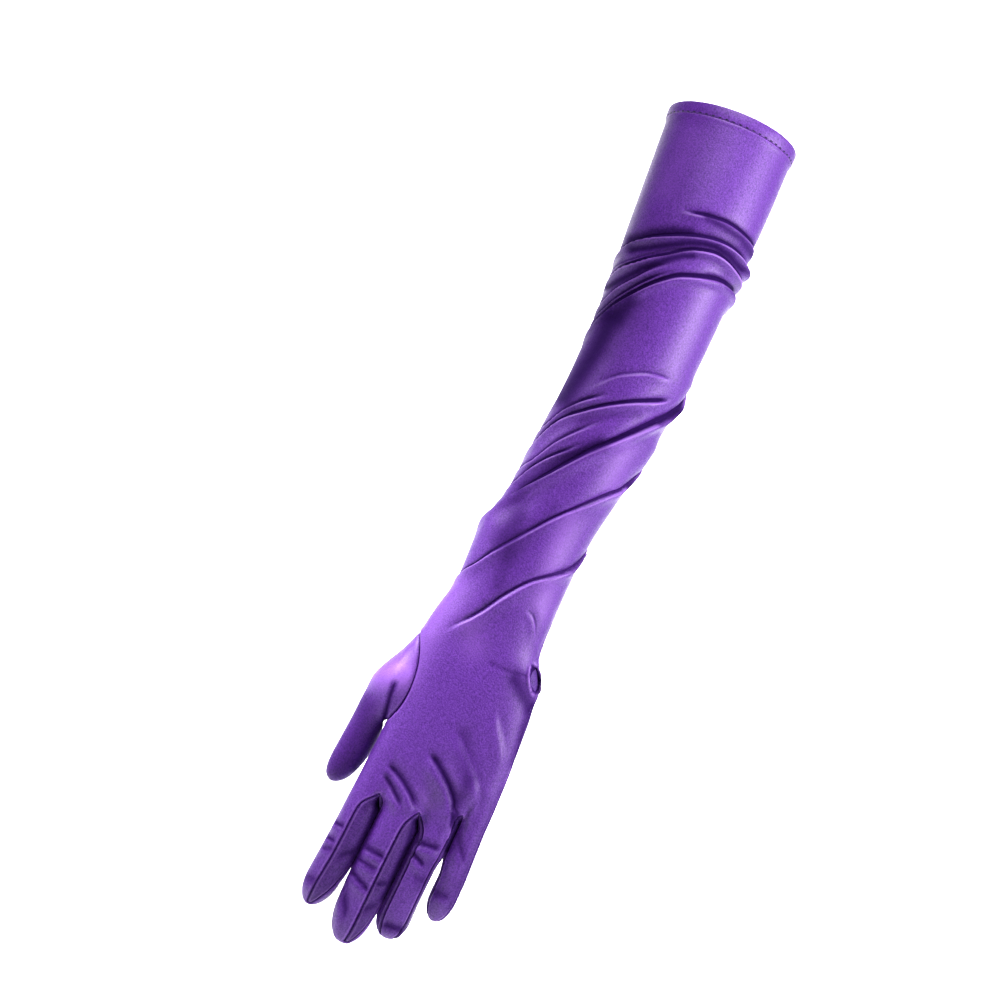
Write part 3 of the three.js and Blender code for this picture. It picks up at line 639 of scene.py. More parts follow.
def add_sleeve(cloth):
    heights = row_heights()
    points, deg, radius = sleeve_places(heights)
    ids = cloth.add(points)
    turn = np.arange(AROUND + 1) * 360 / AROUND
    across = np.radians(turn)[None, :] * np.append(radius, radius[:, :1], axis=1).mean(axis=1, keepdims=True)
    along = np.append(points[..., 2], points[:, :1, 2], axis=1)
    wrapped = closed(ids)
    top = int(np.argmin(np.abs(heights - THUMB_HOLE.top)))
    bottom = top + 2 * UNIT
    left, right = (
        int(round((side - FIRST_DEG) % 360 * AROUND / 360))
        for side in (THUMB_HOLE.deg - THUMB_HOLE.half_deg, THUMB_HOLE.deg + THUMB_HOLE.half_deg)
    )
    last = len(heights) - 1
    for rows, columns in [
        (slice(0, top + 1), slice(None)),
        (slice(top, bottom + 1), slice(right, left + 1)),
        (slice(bottom, last + 1), slice(None)),
    ]:
        cloth.grid(BODY_CLOTH, wrapped[rows, columns], across[rows, columns], along[rows, columns])
    over = [(left + i) % AROUND for i in range(2 * UNIT)]
    back = [(right - i) % AROUND for i in range(2 * UNIT)]
    hole = np.concatenate(
        [ids[top, over], ids[top:bottom, right], ids[bottom, back], ids[bottom:top:-1, left]]
    )
    return SimpleNamespace(ids=ids, deg=deg, radius=radius, knuckles=ids[last], hole=hole)


def add_crotch(cloth, back, palm):
    """The saddle between two fingers, from the back of the hand to the palm's side."""
    t = np.arange(1, UNIT)[:, None] / UNIT
    points = lerp(cloth.points[back], cloth.points[palm], t)
    points[:, 2:] -= CROTCH_SAG * np.sin(np.pi * t)
    return np.concatenate([[back], cloth.add(points), [palm]])


def finger_steps(finger):
    """Shares of the way from root to tip: even down the shaft, then even round the tip's curve."""
    shaft = 1 - finger.round / (finger.crotch - finger.tip)
    turn = np.arange(1, FINGER_TIP_RINGS) / FINGER_TIP_RINGS * math.pi / 2
    round_end = shaft + (1 - shaft) * np.sin(turn) ** (2 / TIP_ROUNDNESS)
    return np.append(np.linspace(0, shaft, FINGER_SHAFT_RINGS + 1)[1:], round_end)


def add_finger(cloth, index, root, strips):
    """A finger from its root ring to its tip. strips names the pieces of its right and left sides."""
    finger = FINGERS[index]
    start = cloth.points[root]
    along = finger_steps(finger)[:, None]
    z = lerp(start[None, :, 2], finger.tip, along)
    segment = np.arange(4 * UNIT) // UNIT
    share = np.arange(4 * UNIT) % UNIT / UNIT
    deg = np.concatenate([finger_deg(index, s, share[segment == s], along) for s in range(4)], axis=1)
    x, y = on_oval(finger_section(finger, z), deg)
    below = start[None, :, 2] - z
    free = 1 - (1 - np.clip(below / ROOT_BLEND, 0, 1)) ** 3
    inside_strip = np.where(segment % 2 == 1, smooth(np.minimum(share, 1 - share) * 4), 0)
    if index == 0:
        inside_strip = np.where(segment == 3, 0, inside_strip)
    if index == 3:
        inside_strip = np.where(segment == 1, 0, inside_strip)
    free = lerp(free, smooth(below / STRIP_BLEND), inside_strip)
    points = np.stack([lerp(start[:, 0], x, free), lerp(start[:, 1], y, free), z], axis=-1)
    rings = closed(np.vstack([root[None, :], cloth.add(points)]))
    tip = finger.rows.at(finger.tip)
    pole = cloth.add(np.array([[(tip.left + tip.right) / 2, tip.y, finger.tip]], float))
    end = int(np.argmin(np.abs(along[:, 0] - STRIP_END))) + 1
    girth = np.pi * 9.5
    across = np.broadcast_to(np.arange(4 * UNIT + 1) / (4 * UNIT) * 2 * girth, rings.shape)
    down = cloth.points[rings][..., 2]
    rows = len(rings)
    for s in range(4):
        columns = slice(s * UNIT, (s + 1) * UNIT + 1)
        piece = strips.get(s, BODY_CLOTH)
        for part, owner in [(slice(0, end + 1), piece), (slice(end, rows), BODY_CLOTH)]:
            cloth.grid(owner, rings[part, columns], across[part, columns], down[part, columns])
        tip_ids = np.vstack([rings[-1, columns], np.full(UNIT + 1, pole[0])])
        tip_down = np.vstack([down[-1, columns], np.full(UNIT + 1, finger.tip)])
        cloth.grid(BODY_CLOTH, tip_ids, np.tile(across[-1, columns], (2, 1)), tip_down)
    return rings


def add_thumb(cloth, hole):
    """The thumb, along strands from the hole's edge through its rows and over its tip."""
    start = cloth.points[hole]
    middle_z = (THUMB_HOLE.top + THUMB_HOLE.bottom) / 2
    half_z = (THUMB_HOLE.top - THUMB_HOLE.bottom) / 2
    middle = SECTIONS.at(middle_z)
    turn = np.arctan2((start[:, 1] - middle.y) / THUMB_SEAM_HALF_DEPTH, (start[:, 2] - middle_z) / half_z)
    t = (1 - np.cos(turn)) / 2
    knots = [start]
    for outer_x, outer_z, inner_x, inner_z, y, depth in THUMB_ROWS:
        row_y = y + depth / 2 * np.sin(turn)
        knots.append(np.stack([lerp(outer_x, inner_x, t), row_y, lerp(outer_z, inner_z, t)], axis=-1))
    knots.append(np.broadcast_to(np.array(THUMB_TIP, float), start.shape))
    over_tip = np.roll(knots[-2], len(hole) // 2, axis=0)
    knots = np.array([2 * knots[0] - knots[1], *knots, over_tip])
    lengths = np.linalg.norm(np.diff(knots[1:-1], axis=0), axis=-1).mean(axis=1)
    reached = np.append(0, np.cumsum(lengths))
    places = np.interp(np.linspace(0, reached[-1], THUMB_RINGS + 1)[1:-1], reached, np.arange(len(reached)))
    row = np.minimum(places.astype(int), len(reached) - 2)
    share = (places - row)[:, None, None]
    before, a, b, after = (knots[row + i] for i in range(4))
    points = hermite(a, b, (b - before) / 2, (after - a) / 2, share)
    rings = closed(np.vstack([hole[None, :], cloth.add(points)]))
    pole = cloth.add(np.array([THUMB_TIP], float))
    rings = np.vstack([rings, np.full((1, rings.shape[1]), pole[0])])
    across = np.broadcast_to(np.arange(rings.shape[1]) / (rings.shape[1] - 1) * 76, rings.shape)
    down = np.broadcast_to(-np.arange(len(rings))[:, None] / len(rings) * 105, rings.shape)
    cloth.grid("thumb", rings, across, down)
    return rings


def glove_cloth():
    """The glove's smooth outer face, before its folds."""
    cloth = Cloth()
    sleeve = add_sleeve(cloth)
    corner = [sleeve.knuckles[unit * UNIT] for unit in range(10)]
    crotches = [add_crotch(cloth, corner[i + 1], corner[8 - i]) for i in range(3)]

    def span(unit):
        return sleeve.knuckles[(unit * UNIT + np.arange(UNIT)) % AROUND]

    cloth.fingers = []
    for i in range(4):
        right = crotches[i][:UNIT] if i < 3 else span(4)
        left = crotches[i - 1][::-1][:UNIT] if i > 0 else span(9)
        strips = {}
        if i < 3:
            strips[1] = STRIPS[i]
        if i > 0:
            strips[3] = STRIPS[i - 1]
        root = np.concatenate([span(i), right, span(8 - i), left])
        cloth.fingers.append(add_finger(cloth, i, root, strips))
    cloth.thumb = add_thumb(cloth, sleeve.hole)
    cloth.sleeve = sleeve
    return cloth


def outwards(cloth):
    """Outward directions at the points, from the faces round each."""
    sums = np.zeros_like(cloth.points)
    for piece in [BODY_CLOTH, "thumb", *STRIPS]:
        corners, _ = cloth.faces(piece)
        a, b, c, d = (cloth.points[corners[:, i]] for i in range(4))
        normal = np.cross(c - a, d - b)
        normal /= np.maximum(np.linalg.norm(normal, axis=1, keepdims=True), 1e-9)
        for i in range(4):
            np.add.at(sums, corners[:, i], normal)
    return sums / np.maximum(np.linalg.norm(sums, axis=1, keepdims=True), 1e-9)


def smooth_line(xs, ys, x):
    """Height and slope of a smooth curve through the places (xs, ys), held level past its ends."""
    xs, ys = np.asarray(xs, float), np.asarray(ys, float)
    row = np.clip(np.searchsorted(xs, x, "right") - 1, 0, len(xs) - 2)
    step = xs[row + 1] - xs[row]
    t = np.clip((x - xs[row]) / step, 0, 1)
    slopes = -end_to_end_slopes(xs, ys)
    height = hermite(ys[row], ys[row + 1], slopes[row] * step, slopes[row + 1] * step, t)
    nudge = 1e-3
    ahead = hermite(ys[row], ys[row + 1], slopes[row] * step, slopes[row + 1] * step, t + nudge)
    return height, (ahead - height) / (nudge * step)


def front_deg(x, z):
    """Degrees round the sleeve of a place seen from the back of the hand."""
    section = SECTIONS.at(z)
    across = (x - (section.left + section.right) / 2) / ((section.right - section.left) / 2)
    across = np.clip(across, -0.999, 0.999)
    return float(np.degrees(np.arcsin(np.sign(across) * np.abs(across) ** (section.square / 2))))


def fold_profile(fold, below):
    """Height across a fold, for places that far below its line."""
    dip = np.where(below < 0, np.exp(below / fold.above), np.exp(-below / (0.45 * fold.crest)))
    lip = bell(below - fold.crest, np.where(below < fold.crest, 0.6 * fold.crest, fold.reach))
    return fold.lip * lip - fold.groove * dip


def line_strength(fold):
    """Strength of a fold's thin painted dark line, painted shade along the crease: deeper grooves have
    stronger ones.
    """
    return min(1.6, fold.groove / 1.5) if fold.line is None else fold.line


LINE_REACH = 3.6  # a crease's line is kept this far from it
LINE_FADE = 1.4


class Relief:
    """Height added to each point, how far and how strongly it lies in a crease, and how much painted shade it
    takes, a painted highlight where this is under 0.
    """

    def __init__(self, count):
        self.height = np.zeros(count)
        self.away = np.full((2, count), 9.0)
        self.strength = np.zeros((2, count))
        self.shade = np.zeros(count)
        self.moved = np.zeros((count, 3))
        self.laid = 0

    def lay(self, ids, fold, below, strength, risen=1.0):
        """Adds a fold. Neighbouring folds take turns in the two sets of crease distances."""
        self.height[ids] += fold_profile(fold, below) * strength * risen
        # Painted shade in the cloth's colour, above the fold's line and a little way into its groove.
        self.darken(ids, fold.dark * strength * bell(below, np.where(below < 0, fold.wide, 0.6 * fold.crest)))
        turn = self.laid % 2
        self.laid += 1
        weight = strength * line_strength(fold) * smooth((LINE_REACH - np.abs(below)) / LINE_FADE)
        laid = self.strength[turn, ids] * np.exp(-np.abs(self.away[turn, ids]) / 2)
        nearer = weight * np.exp(-np.abs(below) / 2) > laid
        self.away[turn, ids[nearer]] = below[nearer]
        self.strength[turn, ids[nearer]] = weight[nearer]

    def darken(self, ids, amount):
        # Adds painted shade. A negative amount takes it away, down to a painted highlight.
        self.shade[ids] = 1 - (1 - self.shade[ids]) * (1 - amount)


def bell(distance, width):
    return np.exp(-((distance / width) ** 2))


SLEEVE_FADE = 24.0  # a fold of the sleeve dies away over this many degrees at each end
LEFT_HELD = 0.4  # what is left of the folds' height at the left outline, where the cloth is stretched
LEFT_FROM = (-50.0, -78.0)


def lay_sleeve_folds(relief, cloth):
    """The sleeve's folds: those of the front, carried on behind the outlines, and the back's own."""
    for fold in FRONT_FOLDS:
        knots = [(front_deg(x, height), height) for x, height in fold.path]
        if fold.left is not None:
            knots.insert(0, (-BEHIND, fold.left))
        if fold.right is not None:
            knots.append((BEHIND, fold.right))
        lay_round_fold(relief, cloth, fold, knots)
    for fold in BACK_FOLDS:
        lay_round_fold(relief, cloth, fold, fold.path)


def lay_round_fold(relief, cloth, fold, knots):
    """A fold whose line is given as degrees round the sleeve and heights."""
    sleeve = cloth.sleeve
    degs, heights = zip(*knots)
    middle = (degs[0] + degs[-1]) / 2
    deg = (sleeve.deg - middle + 540) % 360 - 180 + middle
    line, slope = smooth_line(degs, heights, deg)
    below = (line - cloth.points[sleeve.ids][..., 2]) / np.hypot(1, slope / np.radians(1) / sleeve.radius)
    strength = smooth((deg - degs[0]) / SLEEVE_FADE) * smooth((degs[-1] - deg) / SLEEVE_FADE)
    held = lerp(1.0, LEFT_HELD, smooth((LEFT_FROM[0] - deg) / (LEFT_FROM[0] - LEFT_FROM[1])))
    relief.lay(sleeve.ids.ravel(), fold, below.ravel(), strength.ravel(), held.ravel())


def lay_flat_fold(relief, points, within, fold, fade):
    """A fold whose path is seen from the front, laid as strongly as within says at each point."""
    xs, zs = zip(*fold.path)
    line, slope = smooth_line(xs, zs, points[:, 0])
    below = (line - points[:, 2]) / np.hypot(1, slope)
    strength = smooth((points[:, 0] - xs[0]) / fade) * smooth((xs[-1] - points[:, 0]) / fade) * within
    relief.lay(np.arange(len(points)), fold, below, strength)


def wrinkle(x1, z1, x2, z2, deep, reach):
    """A short straight fold, as deep on its dark side and as wide as a wrinkle's row says."""
    reach *= WRINKLE_SPREAD
    # The wrinkle's dark is the painted shade laid along it.
    return SimpleNamespace(
        path=[(x1, z1), (x2, z2)], groove=deep, lip=0.8 * deep, above=reach, crest=1.5 * reach,
        reach=1.6 * reach, dark=min(0.95, 0.95 * deep), wide=1.2 * reach, line=0.15,
    )


def lay_hand_folds(relief, cloth, normals):
    """Folds and wrinkles of the hand and fingers, on the back or on the palm's side, none on the thumb."""
    off_thumb = np.ones(len(cloth.points))
    off_thumb[cloth.thumb.ravel()] = 0
    back, palm = (smooth((side * normals[:, 1] - 0.05) / 0.35) * off_thumb for side in (-1, 1))
    for fold in HAND_FOLDS:
        lay_flat_fold(relief, cloth.points, back, fold, HAND_FADE)
    for table, facing in [(FINGER_WRINKLES, back), (PALM_WRINKLES, palm)]:
        for row in table:
            lay_flat_fold(relief, cloth.points, facing, wrinkle(*row), WRINKLE_FADE)


def away_from_path(points, path):
    """Distance of each point from a path of places seen from the front."""
    flat = points[:, [0, 2]]
    path = np.array(path, float)
    nearest = np.full(len(points), 1e9)
    for start, end in zip(path[:-1], path[1:]):
        line = end - start
        share = np.clip((flat - start) @ line / (line @ line), 0, 1)
        nearest = np.minimum(nearest, np.linalg.norm(flat - start - share[:, None] * line, axis=1))
    return nearest


def lay_troughs(relief, cloth, normals):
    """Soft troughs and swellings, on whatever faces the front or the outlines."""
    facing = smooth((0.35 - normals[:, 1]) / 0.5)
    everywhere = np.arange(len(cloth.points))
    for trough in TROUGHS:
        near = bell(away_from_path(cloth.points, trough.path), trough.wide) * facing
        relief.height -= trough.deep * near
        # Painted shade along each trough, and a painted highlight where its dark is under 0.
        relief.darken(everywhere, trough.dark * near)


def lay_slit(relief, cloth):
    """The pocket at the wrist: a narrow lens that sinks away from the front, between two rolled rims."""
    ids = cloth.sleeve.ids.ravel()
    points = cloth.points[ids]
    front = points[points[:, 1] < SLIT.behind]
    top, bottom = (front[np.argmin(np.hypot(*(front[:, [0, 2]] - end).T))] for end in (SLIT.top, SLIT.bottom))
    line = bottom - top
    share = (points - top) @ line / (line @ line)
    off = points - top - share[:, None] * line
    aside = np.linalg.norm(off, axis=1)
    lens = np.sin(np.pi * np.clip(share, 0, 1)) ** 0.6
    width = SLIT.half_width * lens + 0.05
    near = (share > -0.05) & (share < 1.05)
    into = smooth((width - aside) / 1.0 + 0.5) * lens * near
    rims = bell(aside - width - 0.7, SLIT.rim_width) * near * smooth(lens * 2)
    relief.height[ids] *= 1 - 0.8 * np.maximum(into, rims)
    outer = (off[:, 0] > 0)[:, None]
    relief.moved[ids] += into[:, None] * np.array([-0.4, SLIT.depth, 0.0])
    relief.moved[ids] += SLIT.rim * rims[:, None] * np.where(outer, [0.9, -0.5, 0.0], [0.0, -1.0, 0.0])
    # Painted highlight on the two rims, and painted shade inside the lens.
    relief.shade[ids] = relief.shade[ids] * (1 - smooth(rims * 2)) - rims
    relief.darken(ids, smooth(into * 1.8))


def lay_undulations(relief, cloth):
    """Broad, shallow unevenness of stretched cloth, from a few crossed waves."""
    x, y, z = cloth.points.T
    wave = np.zeros(len(x))
    for across, along, through, phase in WAVES:
        wave += np.sin(across * x + along * z + through * y + phase) / abs(across)
    relief.height += WAVE_SLOPE * wave


def border_of(corners):
    """Directed edges of a piece's edge as {from: to}, with the cloth on their left seen from outside."""
    a = corners.ravel()
    b = np.roll(corners, -1, axis=1).ravel()
    real = a != b
    a, b = a[real], b[real]
    size = int(max(a.max(), b.max())) + 1
    lone = ~np.isin(a * size + b, b * size + a)
    return dict(zip(a[lone].tolist(), b[lone].tolist()))


def loops_of(border):
    """The border's closed loops of point ids."""
    left, loops = dict(border), []
    while left:
        first = next(iter(left))
        loop, here = [first], left.pop(first)
        while here != first:
            loop.append(here)
            here = left.pop(here)
        loops.append(loop)
    return loops


def seam_lines(cloth):
    """Seams between the pieces as runs of point ids: round the thumb and round each side strip."""
    lines = []
    for piece in ["thumb", *STRIPS]:
        corners, _ = cloth.faces(piece)
        for loop in loops_of(border_of(corners)):
            lines.append(np.array(loop + loop[:1]))
    return lines


def side_seam_line(cloth):
    """The seam down the outer side, sleeve to little fingertip, as places on the smooth face."""
    sleeve = cloth.sleeve
    rings = cloth.fingers[3]
    places = []
    for row, ids in enumerate(sleeve.ids):
        deg = sleeve.deg[row]
        aim = SIDE_SEAM.at(cloth.points[ids, 2]).deg
        gap = (deg - aim + 180) % 360 - 180
        j = int(np.argmin(np.abs(gap)))
        k = (j + (1 if gap[j] < 0 else -1)) % AROUND
        share = gap[j] / (gap[j] - gap[k]) if gap[j] != gap[k] else 0.0
        places.append(lerp(cloth.points[ids[j]], cloth.points[ids[k]], np.clip(share, 0, 1)))
    knuckle = places[-1]
    root = cloth.points[rings[0]]
    column = int(np.argmin(np.linalg.norm(root - knuckle, axis=1)))
    places += [cloth.points[ring[column]] for ring in rings[1:]]
    return np.array(places)


def lay_seams(relief, cloth):
    """Cloth dips into each seam, rolls up beside it and puckers along it."""
    lines = [*(cloth.points[line] for line in seam_lines(cloth)), side_seam_line(cloth)]
    runs = []
    for line in lines:
        runs.append(np.append(0, np.cumsum(np.linalg.norm(np.diff(line, axis=0), axis=1))))
    marks, runs = np.vstack(lines), np.concatenate(runs)
    tree = nearest_of(marks)
    away = np.full(len(cloth.points), 99.0)
    along = np.zeros(len(cloth.points))
    for i, place in enumerate(cloth.points):
        _, mark, distance = tree.find(place)
        away[i], along[i] = distance, runs[mark]
    under_hem = -HEM_HEIGHT - row_heights()[:, None]
    away[cloth.sleeve.ids] = np.minimum(away[cloth.sleeve.ids], under_hem)
    dip = bell(away, SEAM_DIP_WIDTH)
    roll = bell(away - SEAM_ROLL_PLACE, SEAM_ROLL_WIDTH)
    pucker = np.exp(-away / PUCKER_REACH) * np.sin(2 * np.pi * along / PUCKER_PITCH) * (1 - dip)
    relief.height += SEAM_ROLL * roll - SEAM_DIP * dip + PUCKER * pucker
    relief.seam = away


def nearest_of(places):
    """A tree that finds the places nearest to one."""
    tree = kdtree.KDTree(len(places))
    for i, place in enumerate(places):
        tree.insert(place, i)
    tree.balance()
    return tree


def folded_glove():
    """The glove's cloth with its folds: the smooth face, its directions, the relief and the outer face."""
    cloth = glove_cloth()
    normals = outwards(cloth)
    relief = Relief(len(cloth.points))
    lay_sleeve_folds(relief, cloth)
    lay_hand_folds(relief, cloth, normals)
    lay_troughs(relief, cloth, normals)
    lay_undulations(relief, cloth)
    fade = smooth((-HEM_HEIGHT - 1 - cloth.points[:, 2]) / 14 + 0.2)
    relief.height *= np.where(cloth.points[:, 2] > -40, fade, 1)
    lay_slit(relief, cloth)
    lay_seams(relief, cloth)
    relief.height = soft_floor(relief.height, DEEPEST)
    cloth.normals = normals
    cloth.relief = relief
    cloth.outer = cloth.points + normals * relief.height[:, None] + relief.moved
    return cloth


def soft_floor(values, floor):
    """Values, eased so that none goes under the floor."""
    over = values - floor
    return floor + np.where(over > 1, over, np.exp(np.minimum(over, 1) - 1))


def insets_of(cloth, border, normals):
    """How far each edge point moves along the cloth to leave its half of the seam's gap."""
    moved = {}
    for a, b in border.items():
        side = np.cross(normals[a], cloth.outer[b] - cloth.outer[a])
        side /= max(np.linalg.norm(side), 1e-9)
        for point in (a, b):
            moved[point] = moved.get(point, 0) + side
    return {point: SEAM_GAP * side / max(np.linalg.norm(side), 1e-9) for point, side in moved.items()}


def piece_mesh(cloth, piece):
    """One cloth piece as a closed wall: a fine outer face, a rim at its edge and a coarser inside face."""
    fine, fine_uv = cloth.faces(piece)
    coarse, coarse_uv = cloth.faces(piece, INNER_STEP)
    border = border_of(fine)
    insets = insets_of(cloth, border, cloth.normals)
    depth = CLOTH + HOLLOW * smooth((cloth.relief.seam - 1) / 9) * smooth((-20 - cloth.points[:, 2]) / 20)
    outer_ids = np.unique(fine)
    inner_ids = np.unique(np.concatenate([coarse.ravel(), np.fromiter(border, int)]))
    outer_at = {point: i for i, point in enumerate(outer_ids.tolist())}
    inner_at = {point: len(outer_ids) + i for i, point in enumerate(inner_ids.tolist())}
    places = np.vstack([
        cloth.outer[outer_ids],
        cloth.points[inner_ids] - cloth.normals[inner_ids] * depth[inner_ids, None],
    ])
    for point, move in insets.items():
        places[outer_at[point]] += move
        places[inner_at[point]] += move
    faces, coordinates, inside = [], [], []
    for corners, uv in zip(fine.tolist(), fine_uv.tolist()):
        kept = [i for i in range(4) if corners[i] != corners[i - 1]]
        faces.append([outer_at[corners[i]] for i in kept])
        coordinates += [uv[i] for i in kept]
        inside.append(0)
    for a, b in border.items():
        faces.append([outer_at[b], outer_at[a], inner_at[a], inner_at[b]])
        coordinates += [(0, 0)] * 4
        inside.append(0)
    for corners, uv in zip(coarse.tolist(), coarse_uv.tolist()):
        ring, ring_uv = [], []
        for i in range(4):
            here, there = corners[i], corners[(i + 1) % 4]
            if here == there:
                continue
            ring.append(here)
            ring_uv.append(uv[i])
            chain = chain_between(border, here, there)
            ring += chain
            ring_uv += [uv[i]] * len(chain)
        faces.append([inner_at[point] for point in reversed(ring)])
        coordinates += ring_uv[::-1]
        inside.append(1)
    return SimpleNamespace(
        places=places,
        faces=faces,
        coordinates=coordinates,
        inside=inside,
        away=padded(cloth.relief.away[:, outer_ids], len(inner_ids), 9.0),
        strength=padded(cloth.relief.strength[:, outer_ids], len(inner_ids), 0.0),
        shade=np.append(cloth.relief.shade[outer_ids], np.zeros(len(inner_ids))),
        seam=np.append(cloth.relief.seam[outer_ids], np.full(len(inner_ids), 9.0)),
    )


def padded(values, count, fill):
    """Rows of values with count more at the end of each, all alike."""
    return np.hstack([values, np.full((len(values), count), fill)])


def chain_between(border, here, there):
    """The edge points between two kept points of the inside face, if they follow each other on the edge."""
    chain, point = [], here
    for _ in range(INNER_STEP + 1):
        point = border.get(point)
        if point is None:
            return []
        if point == there:
            return chain
        chain.append(point)
    return []


def make_object(name, built, materials):
    """A mesh object in metres with smooth faces, cloth coordinates, crease distances and painted shade."""
    mesh = bpy.data.meshes.new(name)
    mesh.from_pydata((built.places * MM).tolist(), [], built.faces)
    uv = mesh.uv_layers.new(name="cloth")
    uv.data.foreach_set("uv", (np.array(built.coordinates) / 100).ravel())
    mesh.polygons.foreach_set("use_smooth", [True] * len(mesh.polygons))
    mesh.polygons.foreach_set("material_index", built.inside)
    creases = mesh.attributes.new("creases", "FLOAT_VECTOR", "POINT")
    creases.data.foreach_set("vector", np.stack([*built.away, built.seam], axis=1).ravel())
    # The crease lines' strengths and the painted shade, which the material reads.
    painted_shade_layer = mesh.attributes.new("crease_depths", "FLOAT_VECTOR", "POINT")
    painted_shade_layer.data.foreach_set("vector", np.stack([*built.strength, built.shade], axis=1).ravel())
    for material in materials:
        mesh.materials.append(material)
    mesh.update()
    thing = bpy.data.objects.new(name, mesh)
    bpy.context.scene.collection.objects.link(thing)
    return thing


def dress(thing, slot, *nodes):
    """Lets a piece ride with the glove and stand for CAD nodes, which it hides. slot is not used."""
    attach(thing, BODY)
    if nodes:
        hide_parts(*nodes)
    return thing


class Graph:
    """A node tree that is built by adding nodes and naming what feeds their inputs."""

    def __init__(self, tree):
        self.tree = tree

    def add(self, kind, inputs=None, **settings):
        node = self.tree.nodes.new(kind)
        for name, value in settings.items():
            setattr(node, name, value)
        for name, value in (inputs or {}).items():
            self.feed(node.inputs[name], value)
        return node

    def feed(self, socket, value):
        """Links an output to a socket, or sets its own value."""
        if isinstance(value, bpy.types.NodeSocket):
            self.tree.links.new(value, socket)
        else:
            socket.default_value = value

    def maths(self, operation, *values, clamp=False):
        node = self.tree.nodes.new("ShaderNodeMath")
        node.operation = operation
        node.use_clamp = clamp
        for socket, value in zip(node.inputs, values):
            self.feed(socket, value)
        return node.outputs[0]

    def mix(self, share, a, b):
        """Colour between a and b."""
        node = self.tree.nodes.new("ShaderNodeMix")
        node.data_type = "RGBA"
        for place, value in [(0, share), (6, a), (7, b)]:
            self.feed(node.inputs[place], value)
        return node.outputs[2]


def crease_group():
    """A crease's painted dark line, the painted highlight on its crest, and its height, from the distances
    kept on the cloth, in mm.
    """
    if "glove_creases" in bpy.data.node_groups:
        return bpy.data.node_groups["glove_creases"]
    tree = bpy.data.node_groups.new("glove_creases", "ShaderNodeTree")
    width = tree.interface.new_socket("Width", in_out="INPUT", socket_type="NodeSocketFloat")
    width.default_value = 1.0
    for name in ("Dark", "Crest", "Height"):
        tree.interface.new_socket(name, in_out="OUTPUT", socket_type="NodeSocketFloat")
    graph = Graph(tree)
    given = graph.add("NodeGroupInput")
    away = graph.add("ShaderNodeAttribute", attribute_name="creases")
    depth = graph.add("ShaderNodeAttribute", attribute_name="crease_depths")
    away = graph.add("ShaderNodeSeparateXYZ", {"Vector": away.outputs["Vector"]})
    depth = graph.add("ShaderNodeSeparateXYZ", {"Vector": depth.outputs["Vector"]})
    lines, crests, heights = [], [], []
    sharp = 1.7  # how suddenly a line's edge fades
    for axis in ("X", "Y"):
        below, strength = away.outputs[axis], depth.outputs[axis]
        # Each crease's thin painted dark line, and the painted highlight on the crest below it.
        far = graph.maths("MAXIMUM", below, graph.maths("MULTIPLY", below, -0.6))
        wide = graph.maths("MULTIPLY_ADD", strength, 0.5, 0.5)
        wide = graph.maths("MULTIPLY", given.outputs["Width"], wide)
        line = graph.maths("DIVIDE", far, graph.maths("DIVIDE", wide, sharp))
        line = graph.maths("SUBTRACT", sharp, line, clamp=True)
        line = graph.maths("MULTIPLY", line, strength, clamp=True)
        off = graph.maths("ABSOLUTE", graph.maths("SUBTRACT", below, 1.7))
        crest = graph.maths("SUBTRACT", 1.0, off, clamp=True)
        crest = graph.maths("MULTIPLY", crest, strength, clamp=True)
        lines.append(line)
        crests.append(crest)
        sunk = graph.maths("MULTIPLY", line, 0.5)
        heights.append(graph.maths("SUBTRACT", graph.maths("MULTIPLY", crest, 0.3), sunk))
    seam = graph.maths("SUBTRACT", 1.0, graph.maths("DIVIDE", away.outputs["Z"], 0.68), clamp=True)
    seam = graph.maths("MULTIPLY", seam, 1.15, clamp=True)
    # The painted shade laid on the cloth. Under 0 it is a painted highlight.
    shade = depth.outputs["Z"]
    dark = graph.maths("MAXIMUM", shade, seam)
    dark = graph.maths("MAXIMUM", graph.maths("MAXIMUM", *lines), dark, clamp=True)
    # A painted highlight on the rolled cloth just beside each seam.
    beside_seam = graph.maths("ABSOLUTE", graph.maths("SUBTRACT", away.outputs["Z"], 1.5))
    beside_seam = graph.maths("MULTIPLY_ADD", beside_seam, -0.9, 0.55, clamp=True)
    # Painted highlights on the crests, where the painted shade is under 0, and beside the seams.
    crest = graph.maths("MAXIMUM", graph.maths("MAXIMUM", *crests), graph.maths("MULTIPLY", shade, -1.0))
    crest = graph.maths("MAXIMUM", crest, beside_seam)
    # Painted highlights fade out in painted shade.
    lit = graph.maths("MULTIPLY", crest, graph.maths("SUBTRACT", 1.0, dark), clamp=True)
    graph.add("NodeGroupOutput", {"Dark": dark, "Crest": lit, "Height": graph.maths("ADD", *heights)})
    return tree


